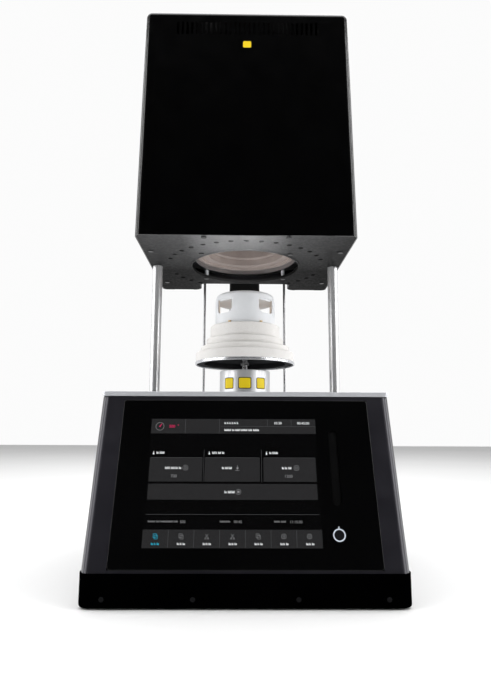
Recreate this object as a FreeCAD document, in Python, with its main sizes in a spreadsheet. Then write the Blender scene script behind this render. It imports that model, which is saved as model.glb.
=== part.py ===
import FreeCAD, Part
import math
import operator
import os

import Sketcher
from FreeCAD import Placement, Rotation, Vector

# Bench-top, bottom-loading ceramic furnace with a touch panel.
# Frame: +Z up, the front faces -Y. The origin is at the bottom centre, and the lift axis is the Z axis.
# Every length is in millimetres. SIZES is the driving table: it fills the spreadsheet "Sizes".

SIZES = {
    # base: floor tray, housing and top plate
    "foot_height": 1.5,
    "foot_radius": 11,
    "foot_inset": 32,
    "floor_width": 383.5,
    "floor_depth": 416,
    "floor_height": 37.5,
    "floor_wall": 2.5,
    "floor_corner": 14,
    "floor_edge": 3,
    "housing_width": 380.2,
    "housing_depth": 412,
    "housing_rise": 205.2,
    "slope_run": 70.5,
    "sheet_wall": 1.5,
    "housing_edge": 11,
    "plate_gap": 0.8,
    "plate_width": 380,
    "plate_front": -135.8,
    "plate_rear": 206,
    "plate_thickness": 6.2,
    "plate_corner": 5,
    "rim_flange": 34,
    # touch panel, in its own plane: x across, y up the slope from the housing's front bottom edge
    "glass_width": 318.4,
    "glass_low": 3.4,
    "glass_high": 212,
    "glass_thickness": 4,
    "glass_proud": 0.3,
    "glass_corner": 4,
    "display_width": 216,
    "display_height": 163,
    "display_thickness": 8,
    "display_across": -15.7,
    "display_up": 106.6,
    "lens_across": 110.7,
    "lens_low": 75.8,
    "lens_high": 170.3,
    "lens_radius": 5.7,
    "key_across": 110.2,
    "key_up": 42.1,
    "key_radius": 5.95,
    "key_ring_inner": 6,
    "key_ring_outer": 7.5,
    "carrier_width": 336,
    "carrier_thickness": 5.4,
    # lift and table
    "tube_radius": 39.5,
    "tube_wall": 2.5,
    "tube_bottom": 58,
    "tube_top": 291.8,
    "running_gap": 0.05,
    "post_radius": 4,
    "disc_radius": 78.5,
    "disc_rim_bottom": 302,
    "disc_under": 303.8,
    "disc_top": 306.6,
    "dish_radius": 66,
    "dish_top": 314,
    "step_a_radius": 77.4,
    "step_a_top": 320.9,
    "step_b_radius": 69.7,
    "step_b_top": 330.4,
    "step_c_radius": 61,
    "step_c_top": 342.8,
    "step_d_radius": 55.2,
    "step_d_top": 363.2,
    "cup_radius": 47.6,
    "cup_wall": 3,
    "cup_top": 403,
    "lid_radius": 46.6,
    "lid_top": 414,
    "window_width": 31,
    "window_depth": 22.9,
    "peg_across": 24,
    "peg_along": 41,
    "peg_radius": 2.2,
    "peg_height": 3.4,
    # lift drive
    "drive_plate_bottom": 24,
    "drive_plate_thickness": 8,
    "screw_back": 72,
    "screw_radius": 5.95,
    "rod_across": 62,
    "rod_radius": 6,
    "carriage_bottom": 46,
    "motor_across": 75,
    "motor_back": 115,
    "screw_pulley_radius": 16,
    "motor_pulley_radius": 10,
    "belt_thickness": 1.5,
    # columns between the base and the head
    "column_across": 142.3,
    "column_radius": 8,
    "stud_radius": 3.5,
    "stay_across": 72.5,
    "stay_back": 112,
    "stay_radius": 2.2,
    "duct_width": 54.6,
    "duct_depth": 28,
    "duct_back": 122,
    # head
    "head_bottom": 463.7,
    "head_top": 811.4,
    "head_width": 306.9,
    "head_top_width": 297.9,
    "head_front": -146.4,
    "head_top_front": -137.8,
    "head_rear": 145.6,
    "head_edge": 9,
    "head_top_edge": 9,
    "head_floor_thickness": 3,
    "mouth_radius": 86,
    "vent_circle": 124,
    "vent_radius": 3.8,
    "recess_width": 160,
    "recess_front": 103,
    "recess_top": 520,
    "slot_pitch": 6.97,
    "slot_width": 3.4,
    "slot_low": 772.6,
    "slot_high": 792.4,
    # muffle: the heated chamber in the head
    "ring_radius": 80,
    "ring_bottom": 475,
    "muffle_bottom": 482,
    "muffle_radius": 98,
    "throat_a_radius": 74,
    "throat_a_top": 485.6,
    "throat_b_radius": 62,
    "throat_b_top": 495.6,
    "throat_c_radius": 56.5,
    "throat_top": 510,
    "chamber_radius": 60,
    "chamber_roof": 600,
    "muffle_top": 650,
    "standoff_offset": 67,
    "element_circle": 54.5,
    "element_radius": 1.6,
}

OPERATIONS = {"+": operator.add, "-": operator.sub, "*": operator.mul, "/": operator.truediv}


class Size:
    """A length that knows its number and the sheet expression that it comes from."""

    def __init__(self, number, text):
        self.number = number
        self.text = text

    def __add__(self, other):
        return combine(self, "+", other)

    def __radd__(self, other):
        return combine(other, "+", self)

    def __sub__(self, other):
        return combine(self, "-", other)

    def __rsub__(self, other):
        return combine(other, "-", self)

    def __mul__(self, other):
        return combine(self, "*", other)

    def __rmul__(self, other):
        return combine(other, "*", self)

    def __truediv__(self, other):
        return combine(self, "/", other)

    def __neg__(self):
        return combine(0, "-", self)


def number_of(value):
    return value.number if isinstance(value, Size) else value


def text_of(value):
    return value.text if isinstance(value, Size) else repr(value)


def combine(left, sign, right):
    number = OPERATIONS[sign](number_of(left), number_of(right))
    return Size(number, f"({text_of(left)} {sign} {text_of(right)})")


class Table:
    """The driving sizes by name."""


doc = FreeCAD.newDocument("furnace")
sheet = doc.addObject("Spreadsheet::Sheet", "Sizes")
dim = Table()
for line, (alias, value) in enumerate(SIZES.items(), start=1):
    sheet.set(f"A{line}", alias)
    sheet.set(f"B{line}", str(value))
    sheet.setAlias(f"B{line}", alias)
    setattr(dim, alias, Size(value, f"Sizes.{alias}"))
doc.recompute()

subparts = []
# below this, two lengths in millimetres count as the same
TOUCH = 0.01


def keep(item, label):
    """Mark a document object as a finished sub-part."""
    item.Label = label
    subparts.append(item)
    return item


# ---- binding and plain solids ----

def bind(item, prop, value):
    """Set a property, tied to the sheet wherever its value comes from there."""
    if isinstance(value, Size):
        item.setExpression(prop, value.text)
    elif "." in prop:
        item.setExpression(prop, repr(value))
    else:
        setattr(item, prop, value)


def move(item, x=0, y=0, z=0):
    for axis, value in zip("xyz", (x, y, z)):
        bind(item, f"Placement.Base.{axis}", value)
    return item


def cylinder(name, radius, height, x=0, y=0, z=0, direction=None):
    """Cylinder standing on (x, y, z), along +Z or along the given direction."""
    item = doc.addObject("Part::Cylinder", name)
    bind(item, "Radius", radius)
    bind(item, "Height", height)
    if direction:
        item.Placement = Placement(Vector(), Rotation(Vector(0, 0, 1), Vector(*direction)))
    return move(item, x, y, z)


def block(name, width, depth, height, x=0, y=0, z=0):
    """Box centred on (x, y), standing on z."""
    item = doc.addObject("Part::Box", name)
    bind(item, "Length", width)
    bind(item, "Width", depth)
    bind(item, "Height", height)
    return move(item, x - width / 2, y - depth / 2, z)


def prism(name, sides, radius, height, x=0, y=0, z=0):
    item = doc.addObject("Part::Prism", name)
    item.Polygon = sides
    bind(item, "Circumradius", radius)
    bind(item, "Height", height)
    return move(item, x, y, z)


def group(name, items):
    """Several separate solids as one object."""
    item = doc.addObject("Part::Compound", name)
    item.Links = list(items)
    return item


def fuse(name, items):
    item = doc.addObject("Part::MultiFuse", name)
    item.Shapes = list(items)
    return item


def cut(name, base, tools):
    item = doc.addObject("Part::Cut", name)
    item.Base = base
    item.Tool = tools[0] if len(tools) == 1 else group(f"{name}_tools", tools)
    return item


def tube(name, outer, inner, height, x=0, y=0, z=0, direction=None):
    body = cylinder(f"{name}_outer", outer, height, x, y, z, direction)
    bore = cylinder(f"{name}_bore", inner, height, x, y, z, direction)
    return cut(name, body, [bore])


def rounded(name, base, radius, wanted):
    """Round the edges of base that the test picks."""
    doc.recompute()
    item = doc.addObject("Part::Fillet", name)
    item.Base = base
    chosen = [n for n, edge in enumerate(base.Shape.Edges, start=1) if wanted(edge)]
    item.Edges = [(n, radius, radius) for n in chosen]
    return item


# ---- bodies made from sketches ----

def new_body(label):
    return keep(doc.addObject("PartDesign::Body", label), label)


def origin_plane(body, role):
    return next(item for item in body.Origin.OriginFeatures if item.Role == role)


def new_sketch(body, name, role, offset=0, slope=None):
    """Sketch on an origin plane of its body, moved along the normal, or laid in the sloped panel's plane."""
    sketch = body.newObject("Sketcher::SketchObject", name)
    sketch.AttachmentSupport = [(origin_plane(body, role), "")]
    sketch.MapMode = "FlatFace"
    if slope:
        sketch.AttachmentOffset = slope
    else:
        bind(sketch, "AttachmentOffset.Base.z", offset)
    return sketch


def pin_point(sketch, geometry, position, x, y):
    """Fix a point of the sketch at (x, y) from its origin."""
    for kind, axis, value in (("DistanceX", -2, x), ("DistanceY", -1, y)):
        if number_of(value) == 0:
            sketch.addConstraint(Sketcher.Constraint("PointOnObject", geometry, position, axis))
            continue
        place = sketch.addConstraint(Sketcher.Constraint(kind, -1, 1, geometry, position, number_of(value)))
        if isinstance(value, Size):
            sketch.setExpression(f"Constraints[{place}]", value.text)


def outline(sketch, corners):
    """Closed polygon through the corners."""
    first = len(sketch.Geometry)
    count = len(corners)
    points = [Vector(number_of(x), number_of(y), 0) for x, y in corners]
    for n in range(count):
        sketch.addGeometry(Part.LineSegment(points[n], points[(n + 1) % count]))
    for n in range(count):
        sketch.addConstraint(Sketcher.Constraint("Coincident", first + n, 2, first + (n + 1) % count, 1))
    for n, (x, y) in enumerate(corners):
        pin_point(sketch, first + n, 1, x, y)


def rectangle(sketch, left, right, low, high):
    outline(sketch, [(left, low), (right, low), (right, high), (left, high)])


def circle(sketch, x, y, radius):
    centre = Vector(number_of(x), number_of(y), 0)
    index = sketch.addGeometry(Part.Circle(centre, Vector(0, 0, 1), number_of(radius)))
    pin_point(sketch, index, 3, x, y)
    place = sketch.addConstraint(Sketcher.Constraint("Radius", index, number_of(radius)))
    if isinstance(radius, Size):
        sketch.setExpression(f"Constraints[{place}]", radius.text)


def capsule(sketch, x, low, high, radius):
    """Upright slot outline: two half circles joined by straight sides."""
    centre_x, reach = number_of(x), number_of(radius)
    ends = [number_of(high) - reach, number_of(low) + reach]
    normal = Vector(0, 0, 1)
    arcs = [(ends[0], 0, math.pi), (ends[1], math.pi, 2 * math.pi)]
    for y, start, stop in arcs:
        round_end = Part.Circle(Vector(centre_x, y, 0), normal, reach)
        sketch.addGeometry(Part.ArcOfCircle(round_end, start, stop))
    for side in (-reach, reach):
        start = Vector(centre_x + side, ends[0], 0)
        sketch.addGeometry(Part.LineSegment(start, Vector(centre_x + side, ends[1], 0)))
    for arc, arc_end, side, side_end in ((0, 2, 2, 1), (0, 1, 3, 1), (1, 1, 2, 2), (1, 2, 3, 2)):
        sketch.addConstraint(Sketcher.Constraint("Tangent", arc, arc_end, side, side_end))
    sketch.addConstraint(Sketcher.Constraint("Equal", 0, 1))
    pin_point(sketch, 0, 3, x, high - radius)
    pin_point(sketch, 1, 3, x, low + radius)
    place = sketch.addConstraint(Sketcher.Constraint("Radius", 0, reach))
    if isinstance(radius, Size):
        sketch.setExpression(f"Constraints[{place}]", radius.text)


def feature(body, kind, sketch, length, symmetric=False, reverse=False):
    """Pad or Pocket of a sketch."""
    item = body.newObject(f"PartDesign::{kind}", f"{sketch.Name}_{kind}")
    item.Profile = sketch
    bind(item, "Length", length)
    item.SideType = "Symmetric" if symmetric else "One side"
    item.Reversed = reverse
    doc.recompute()
    return item


def pad(body, sketch, length, **options):
    return feature(body, "Pad", sketch, length, **options)


def pocket(body, sketch, length, **options):
    """Pocket that has to reach its body: it changes the number of faces."""
    before = len(body.Shape.Faces)
    item = feature(body, "Pocket", sketch, length, **options)
    if len(body.Shape.Faces) == before:
        raise RuntimeError(f"{item.Name} cuts nothing")
    return item


def fillet(body, name, radius, wanted):
    """Round the body's edges that the test picks."""
    doc.recompute()
    base = body.Tip
    chosen = [f"Edge{n}" for n, edge in enumerate(base.Shape.Edges, start=1) if wanted(edge)]
    item = body.newObject("PartDesign::Fillet", name)
    item.Base = (base, chosen)
    bind(item, "Radius", radius)
    doc.recompute()
    return item


def revolved(label, profile):
    """Body turned about the lift axis from (radius, height) corners."""
    body = new_body(label)
    sketch = new_sketch(body, f"{label}_profile", "XZ_Plane")
    outline(sketch, profile)
    turn = body.newObject("PartDesign::Revolution", f"{label}_turn")
    turn.Profile = sketch
    turn.ReferenceAxis = (sketch, ["V_Axis"])
    turn.Angle = 360
    doc.recompute()
    return body


# ---- edge tests ----


def ends_of(edge):
    return edge.Vertexes[0].Point, edge.Vertexes[-1].Point


def is_upright(edge):
    low, high = ends_of(edge)
    return abs(low.x - high.x) < TOUCH and abs(low.y - high.y) < TOUCH and abs(low.z - high.z) > 1


def is_beside(edge, across):
    """Upright edge at the given distance from the middle plane."""
    return abs(abs(edge.BoundBox.Center.x) - number_of(across)) < TOUCH


def at_height(edge, height):
    box = edge.BoundBox
    return abs(box.ZMin - number_of(height)) < TOUCH and abs(box.ZMax - number_of(height)) < TOUCH


def at_radius(edge, radius, height):
    """Circle of the given radius about the lift axis at the given height."""
    if not at_height(edge, height) or not isinstance(edge.Curve, Part.Circle):
        return False
    return abs(edge.Curve.Radius - number_of(radius)) < TOUCH


# ---- derived heights and places ----

floor_top = dim.foot_height + dim.floor_height
floor_inside = dim.foot_height + dim.floor_wall
housing_front = -(dim.housing_depth / 2)
housing_rear = dim.housing_depth / 2
housing_top = floor_top + dim.housing_rise
plate_bottom = housing_top + dim.plate_gap
plate_top = plate_bottom + dim.plate_thickness
tilt = math.degrees(math.atan2(SIZES["slope_run"], SIZES["housing_rise"]))
slope_front = number_of(housing_front)
slope_bottom = number_of(floor_top)
# places a piece that is drawn in the panel's own plane
PANEL = Placement(Vector(0, slope_front, slope_bottom), Rotation(Vector(1, 0, 0), 90 - tilt))
# the same plane, as an offset from an upright XZ sketch plane
PANEL_SKETCH = Placement(Vector(0, slope_bottom, -slope_front), Rotation(Vector(1, 0, 0), -tilt))
glass_back = dim.glass_proud - dim.glass_thickness
carrier_back = -(dim.carrier_thickness + dim.sheet_wall)
four_corners = [(a, b) for a in (-1, 1) for b in (-1, 1)]


def slope_y(z, inset=0):
    """Y of the sloped front wall at height z, inset horizontally."""
    return housing_front + inset + (z - floor_top) * dim.slope_run / dim.housing_rise


# ---- base shell ----

def base_tray():
    """Open-topped floor pan that the housing stands on."""
    body = new_body("base_tray")
    half_width, half_depth = dim.floor_width / 2, dim.floor_depth / 2
    shell = new_sketch(body, "pan_outside", "XY_Plane", dim.foot_height)
    rectangle(shell, -half_width, half_width, -half_depth, half_depth)
    pad(body, shell, dim.floor_height)
    inside = new_sketch(body, "pan_inside", "XY_Plane", floor_top)
    wall = dim.floor_wall
    rectangle(inside, wall - half_width, half_width - wall, wall - half_depth, half_depth - wall)
    pocket(body, inside, dim.floor_height - wall)
    half = number_of(half_width)
    inner_corner = dim.floor_corner - wall
    fillet(body, "pan_inner_corners", inner_corner, lambda e: is_upright(e)
           and abs(e.BoundBox.Center.x) < half - 1)
    fillet(body, "pan_outer_corners", dim.floor_corner, lambda e: is_upright(e)
           and abs(e.BoundBox.Center.x) > half - 1)
    fillet(body, "pan_bottom_edge", dim.floor_edge, lambda e: at_height(e, dim.foot_height))
    holes = new_sketch(body, "foot_holes", "XY_Plane", floor_inside)
    for side, end in four_corners:
        circle(holes, side * (half_width - dim.foot_inset), end * (half_depth - dim.foot_inset), 3)
    pocket(body, holes, 5)
    screws = new_sketch(body, "front_screw_holes", "XZ_Plane", half_depth)
    for x in FRONT_SCREWS:
        circle(screws, x, FRONT_SCREW_HEIGHT, 3)
    pocket(body, screws, 1.8)


FRONT_SCREWS = (-163, -60, 60, 163)
FRONT_SCREW_HEIGHT = 11.5
REAR_SCREW_HEIGHTS = (58, 140, 226)
REAR_SCREW_ACROSS = 174


def rubber_feet():
    """Feet with a stem pressed up through the floor pan."""
    feet = []
    for side, end in four_corners:
        x = side * (dim.floor_width / 2 - dim.foot_inset)
        y = end * (dim.floor_depth / 2 - dim.foot_inset)
        pad_disc = cylinder("foot_pad", dim.foot_radius, dim.foot_height, x, y, 0)
        stem = cylinder("foot_stem", 3, dim.foot_height + dim.floor_wall + 1.5, x, y, 0)
        feet.append(fuse("foot", [pad_disc, stem]))
    keep(group("feet", feet), "rubber_feet")


def base_screws():
    """Flush screws in the front of the pan, button screws on the rear panel."""
    front = -(dim.floor_depth / 2)
    screws = [cylinder("pan_screw", 3, 1.6, x, front + 1.8, FRONT_SCREW_HEIGHT, (0, -1, 0))
              for x in FRONT_SCREWS]
    for side in (-1, 1):
        for z in REAR_SCREW_HEIGHTS:
            x = side * REAR_SCREW_ACROSS
            head = cylinder("panel_screw_head", 3.4, 1.8, x, housing_rear, z, (0, 1, 0))
            shank = cylinder("panel_screw_shank", 1.5, 6, x, housing_rear - 6, z, (0, 1, 0))
            screws.append(fuse("panel_screw", [head, shank]))
    keep(group("base_screw_set", screws), "base_screws")


def base_housing():
    """Folded sheet housing with a sloped front, open below and behind."""
    body = new_body("base_housing")
    side_view = new_sketch(body, "housing_outside", "YZ_Plane")
    outline(side_view, [(housing_front, floor_top), (housing_rear, floor_top),
                        (housing_rear, housing_top), (housing_front + dim.slope_run, housing_top)])
    pad(body, side_view, dim.housing_width, symmetric=True)
    inside = new_sketch(body, "housing_inside", "YZ_Plane")
    wall = dim.sheet_wall
    slant = number_of(wall) / math.cos(math.radians(tilt))
    ceiling = housing_top - wall
    past = 5
    low = floor_top - past
    outline(inside, [(slope_y(low, slant), low), (housing_rear + past, low),
                     (housing_rear + past, ceiling), (slope_y(ceiling, slant), ceiling)])
    pocket(body, inside, dim.housing_width - wall * 2, symmetric=True)
    half = number_of(dim.housing_width) / 2

    def is_front_corner(edge, low, high):
        ends = ends_of(edge)
        across = abs(edge.BoundBox.Center.x)
        return low < across < high and abs(ends[0].z - ends[1].z) > 100 and edge.BoundBox.Center.y < 0

    fillet(body, "housing_inner_corners", dim.housing_edge - wall,
           lambda e: is_front_corner(e, 100, half - 1))
    fillet(body, "housing_outer_corners", dim.housing_edge,
           lambda e: is_front_corner(e, half - 1, half + 1))
    hatch = new_sketch(body, "hatch", "XY_Plane", housing_top)
    edge = dim.plate_width / 2 - dim.rim_flange
    rectangle(hatch, -edge, edge, dim.plate_front + 26, dim.plate_rear - 26)
    pocket(body, hatch, wall * 2)
    window = new_sketch(body, "glass_window", "XZ_Plane", slope=PANEL_SKETCH)
    gap = 0.3
    half_glass = dim.glass_width / 2 + gap
    rectangle(window, -half_glass, half_glass, dim.glass_low - gap, dim.glass_high + gap)
    pocket(body, window, wall * 2)


def top_plate():
    """Flat plate that closes the base and carries the columns."""
    body = new_body("top_plate")
    half = dim.plate_width / 2
    sheet_outline = new_sketch(body, "plate_outline", "XY_Plane", plate_bottom)
    rectangle(sheet_outline, -half, half, dim.plate_front, dim.plate_rear)
    pad(body, sheet_outline, dim.plate_thickness)
    fillet(body, "plate_corners", dim.plate_corner, is_upright)
    fillet(body, "plate_edge", 0.8, lambda e: at_height(e, plate_top))
    holes = new_sketch(body, "plate_holes", "XY_Plane", plate_top)
    circle(holes, 0, 0, dim.tube_radius + 2.5)
    for side in (-1, 1):
        circle(holes, side * dim.column_across, 0, dim.stud_radius)
    duct_half = dim.duct_width / 2 - 4
    rectangle(holes, -duct_half, duct_half, dim.duct_back - 10, dim.duct_back + 10)
    pocket(body, holes, dim.plate_thickness + 2)


def plate_seal():
    """Thin gasket between the housing and the top plate."""
    body = new_body("plate_seal")
    half, inset = dim.plate_width / 2, 2.5
    ring = new_sketch(body, "seal_ring", "XY_Plane", housing_top)
    rectangle(ring, inset - half, half - inset, dim.plate_front + inset, dim.plate_rear - inset)
    rectangle(ring, 20 - half, half - 20, dim.plate_front + 20, dim.plate_rear - 20)
    pad(body, ring, dim.plate_gap)


# ---- touch panel, drawn in its own plane ----

def panel_glass():
    """Black glass front with a slot for the status light and a hole for the key."""
    body = new_body("panel_glass")
    half = dim.glass_width / 2
    sketch = new_sketch(body, "glass_outline", "XY_Plane", glass_back)
    rectangle(sketch, -half, half, dim.glass_low, dim.glass_high)
    pad(body, sketch, dim.glass_thickness)
    fillet(body, "glass_corners", dim.glass_corner, is_upright)
    fillet(body, "glass_front_edge", 0.5, lambda e: at_height(e, dim.glass_proud))
    slot = new_sketch(body, "light_slot", "XY_Plane", dim.glass_proud)
    capsule(slot, dim.lens_across, dim.lens_low, dim.lens_high, dim.lens_radius)
    pocket(body, slot, dim.glass_thickness + 1)
    hole = new_sketch(body, "key_hole", "XY_Plane", dim.glass_proud)
    circle(hole, dim.key_across, dim.key_up, dim.key_ring_outer)
    pocket(body, hole, dim.glass_thickness + 1)
    notch = new_sketch(body, "key_mark_notch", "XY_Plane", dim.glass_proud)
    rectangle(notch, dim.key_across - MARK_HALF_WIDTH, dim.key_across + MARK_HALF_WIDTH,
              dim.key_up + dim.key_ring_outer - 1, dim.key_up + dim.key_ring_outer + MARK_HEIGHT)
    pocket(body, notch, dim.glass_thickness + 1)
    body.Placement = PANEL


MARK_HALF_WIDTH = 0.6
MARK_HEIGHT = 2.4


def status_lens():
    """Smoked lens of the status light, set just below the glass."""
    body = new_body("status_lens")
    sketch = new_sketch(body, "lens_outline", "XY_Plane", glass_back)
    capsule(sketch, dim.lens_across, dim.lens_low + 0.1, dim.lens_high - 0.1, dim.lens_radius - 0.1)
    pad(body, sketch, dim.glass_thickness - 1.2)
    fillet(body, "lens_edge", 1, lambda e: at_height(e, glass_back + dim.glass_thickness - 1.2))
    body.Placement = PANEL


def standby_light_ring():
    """Light guide round the standby key, with its small mark."""
    body = new_body("standby_light_ring")
    ring = new_sketch(body, "light_ring", "XY_Plane", glass_back)
    circle(ring, dim.key_across, dim.key_up, dim.key_ring_outer)
    circle(ring, dim.key_across, dim.key_up, dim.key_ring_inner)
    pad(body, ring, dim.glass_thickness)
    mark = new_sketch(body, "light_mark", "XY_Plane", glass_back)
    low = dim.key_up + dim.key_ring_outer
    rectangle(mark, dim.key_across - MARK_HALF_WIDTH, dim.key_across + MARK_HALF_WIDTH,
              low - 0.6, low + MARK_HEIGHT)
    pad(body, mark, dim.glass_thickness)
    body.Placement = PANEL


KEY_STEM_BACK = -12.6
BOARD_FRONT = -15.0


def standby_key():
    """Key cap with the stem that works the switch behind it."""
    cap = cylinder("key_cap", dim.key_radius, 4.3, dim.key_across, dim.key_up, -4)
    stem = cylinder("key_stem", 2, 9, dim.key_across, dim.key_up, KEY_STEM_BACK)
    key = fuse("key_solid", [cap, stem])
    key.Placement = PANEL
    keep(key, "standby_key")


def panel_carrier():
    """Frame behind the sloped wall that holds the glass, the display and the board."""
    body = new_body("panel_carrier")
    half = dim.carrier_width / 2
    frame = new_sketch(body, "carrier_outline", "XY_Plane", carrier_back)
    rectangle(frame, -half, half, -1, 209)
    pad(body, frame, dim.carrier_thickness)
    seat = new_sketch(body, "glass_seat", "XY_Plane", -dim.sheet_wall)
    half_glass = dim.glass_width / 2 + 0.3
    rectangle(seat, -half_glass, half_glass, dim.glass_low - 0.3, 215)
    pocket(body, seat, -glass_back - dim.sheet_wall)
    window = new_sketch(body, "display_window", "XY_Plane", glass_back)
    half_width, half_height = dim.display_width / 2 + 0.2, dim.display_height / 2 + 0.2
    rectangle(window, dim.display_across - half_width, dim.display_across + half_width,
              dim.display_up - half_height, dim.display_up + half_height)
    circle(window, dim.key_across, dim.key_up, dim.key_radius + 0.15)
    pocket(body, window, dim.carrier_thickness)
    light = new_sketch(body, "light_window", "XY_Plane", glass_back)
    capsule(light, dim.lens_across, dim.lens_low + 3, dim.lens_high - 3, dim.lens_radius - 2)
    pocket(body, light, dim.carrier_thickness)
    bosses = new_sketch(body, "board_bosses", "XY_Plane", carrier_back)
    for x, y in BOARD_BOSSES:
        circle(bosses, x, y, 3.5)
    pad(body, bosses, carrier_back - BOARD_FRONT, reverse=True)
    body.Placement = PANEL


BOARD_BOSSES = ((-104, 14), (118, 14), (-104, 199), (118, 199))


def display_module():
    module = block("display_solid", dim.display_width, dim.display_height, dim.display_thickness,
                   dim.display_across, dim.display_up, glass_back - dim.display_thickness)
    shell = group("display_group", [module])
    shell.Placement = PANEL
    keep(shell, "display_module")


def controller_board():
    """Circuit board with its chips, coils and the key's switch."""
    thickness = 1.6
    back = BOARD_FRONT - thickness
    pieces = [block("board_sheet", 236, 195, thickness, 7, 106.5, back)]
    for x, y, width, height, depth in ((-40, 120, 34, 34, 3), (30, 120, 22, 22, 2.4), (-70, 60, 28, 12, 9),
                                       (20, 50, 46, 16, 11), (85, 150, 18, 30, 8), (-80, 170, 20, 14, 6)):
        pieces.append(block("board_chip", width, height, depth, x, y, back - depth))
    for n in range(4):
        pieces.append(cylinder("board_capacitor", 4, 10, 62 + 11 * n, 90, back - 10))
    pieces.append(block("key_switch", 9, 9, 1.3, dim.key_across, dim.key_up, BOARD_FRONT))
    board = fuse("board_solid", pieces)
    board.Placement = PANEL
    keep(board, "controller_board")


# ---- rear of the base ----

FAN = {"x": -92, "z": 150, "size": 80, "depth": 25, "bore": 38.5}
FAN_SHAFT = 2
INLET = {"x": 112, "z": 84, "width": 34, "height": 62}


def base_rear_panel():
    """Rear sheet with the fan grille, vents and cut-outs."""
    body = new_body("base_rear_panel")
    half = dim.housing_width / 2 - dim.sheet_wall - 0.2
    flat = new_sketch(body, "rear_outline", "XZ_Plane", -housing_rear)
    rectangle(flat, -half, half, floor_top, housing_top - dim.sheet_wall)
    pad(body, flat, dim.sheet_wall)
    cutouts = new_sketch(body, "rear_cutouts", "XZ_Plane", -housing_rear)
    half_width, half_height = INLET["width"] / 2, INLET["height"] / 2
    rectangle(cutouts, INLET["x"] - half_width, INLET["x"] + half_width,
              INLET["z"] - half_height, INLET["z"] + half_height)
    for n in range(14):
        x = 20 + 10.5 * n
        rectangle(cutouts, x - 2, x + 2, 176, 222)
    for side in (-1, 1):
        for z in REAR_SCREW_HEIGHTS:
            circle(cutouts, side * REAR_SCREW_ACROSS, z, 1.5)
    pocket(body, cutouts, dim.sheet_wall * 2, reverse=True)
    grille = new_sketch(body, "fan_grille", "XZ_Plane", -housing_rear)
    pitch = 9.5
    for row in range(-4, 5):
        for column in range(-4, 5):
            x = (column + 0.5 * (row % 2)) * pitch
            z = row * pitch * math.sqrt(3) / 2
            if math.hypot(x, z) < FAN["bore"] - 4:
                circle(grille, FAN["x"] + x, FAN["z"] + z, 3.6)
    pocket(body, grille, dim.sheet_wall * 2, reverse=True)


def fan_frame():
    """Square fan frame with a motor seat on three struts."""
    front = housing_rear - dim.sheet_wall - FAN["depth"]
    size = FAN["size"]
    frame = block("fan_square", size, FAN["depth"], size, FAN["x"], front + FAN["depth"] / 2,
                  FAN["z"] - size / 2)
    bore = cylinder("fan_bore", FAN["bore"], FAN["depth"], FAN["x"], front, FAN["z"], (0, 1, 0))
    ring = cut("fan_ring", frame, [bore])
    seat = tube("fan_seat", 15, FAN_SHAFT + dim.running_gap, 3, FAN["x"], front, FAN["z"], (0, 1, 0))
    pieces = [ring, seat]
    for n in range(3):
        strut = doc.addObject("Part::Box", "fan_strut")
        strut.Length, strut.Width, strut.Height = 27, 3, 4
        turn = Rotation(Vector(0, 1, 0), 120 * n + 30)
        start = turn.multVec(Vector(13, 0, -2))
        base = Vector(FAN["x"], number_of(front), FAN["z"]) + start
        strut.Placement = Placement(base, turn)
        pieces.append(strut)
    keep(fuse("fan_frame_solid", pieces), "fan_frame")


def fan_rotor():
    """Seven-bladed rotor that turns inside the fan frame."""
    front = number_of(housing_rear - dim.sheet_wall) - FAN["depth"]
    hub = cylinder("fan_hub", 14.5, 19, FAN["x"], front + 3.5, FAN["z"], (0, 1, 0))
    shaft = cylinder("fan_shaft", FAN_SHAFT, 3, FAN["x"], front + 0.5, FAN["z"], (0, 1, 0))
    pieces = [hub, shaft]
    for n in range(7):
        blade = doc.addObject("Part::Box", "fan_blade")
        blade.Length, blade.Width, blade.Height = 24, 1.6, 19
        turn = Rotation(Vector(0, 1, 0), 360 / 7 * n).multiply(Rotation(Vector(1, 0, 0), 52))
        base = Vector(FAN["x"], front + 13, FAN["z"]) + turn.multVec(Vector(13, -0.8, -9.5))
        blade.Placement = Placement(base, turn)
        pieces.append(blade)
    keep(fuse("fan_rotor_solid", pieces), "fan_rotor")


ROCKER = {"up": 16, "width": 21, "height": 17.6, "pivot_y": 203.2, "pivot_radius": 1.5, "pivot_width": 25}


def mains_inlet():
    """Mains socket and switch frame in one flanged module."""
    rear = housing_rear
    flange = block("inlet_flange", INLET["width"] + 8, 2, INLET["height"] + 8, INLET["x"], rear + 1,
                   INLET["z"] - INLET["height"] / 2 - 4)
    case = block("inlet_case", INLET["width"] - 0.4, 32, INLET["height"] - 0.4, INLET["x"], rear - 16,
                 INLET["z"] - INLET["height"] / 2 + 0.2)
    solid = fuse("inlet_solid", [flange, case])
    socket = block("socket_recess", 24.5, 20, 17, INLET["x"], rear - 8, INLET["z"] - 24)
    well = block("rocker_well", ROCKER["width"] + 0.6, 14, ROCKER["height"] + 2.4, INLET["x"], rear - 5,
                 INLET["z"] + ROCKER["up"] - ROCKER["height"] / 2 - 1.2)
    pivot = cylinder("rocker_pivot_bore", ROCKER["pivot_radius"] + dim.running_gap, ROCKER["pivot_width"] + 1,
                     INLET["x"] - ROCKER["pivot_width"] / 2 - 0.5, ROCKER["pivot_y"],
                     INLET["z"] + ROCKER["up"], (1, 0, 0))
    hollow = cut("inlet_hollow", solid, [socket, well, pivot])
    pins = [block("socket_pin", 4, 14, 2, INLET["x"] + x, rear - 11, INLET["z"] - 24 + z)
            for x, z in ((-7, 9), (7, 9), (0, 13))]
    keep(fuse("inlet_with_pins", [hollow] + pins), "mains_inlet")


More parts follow.
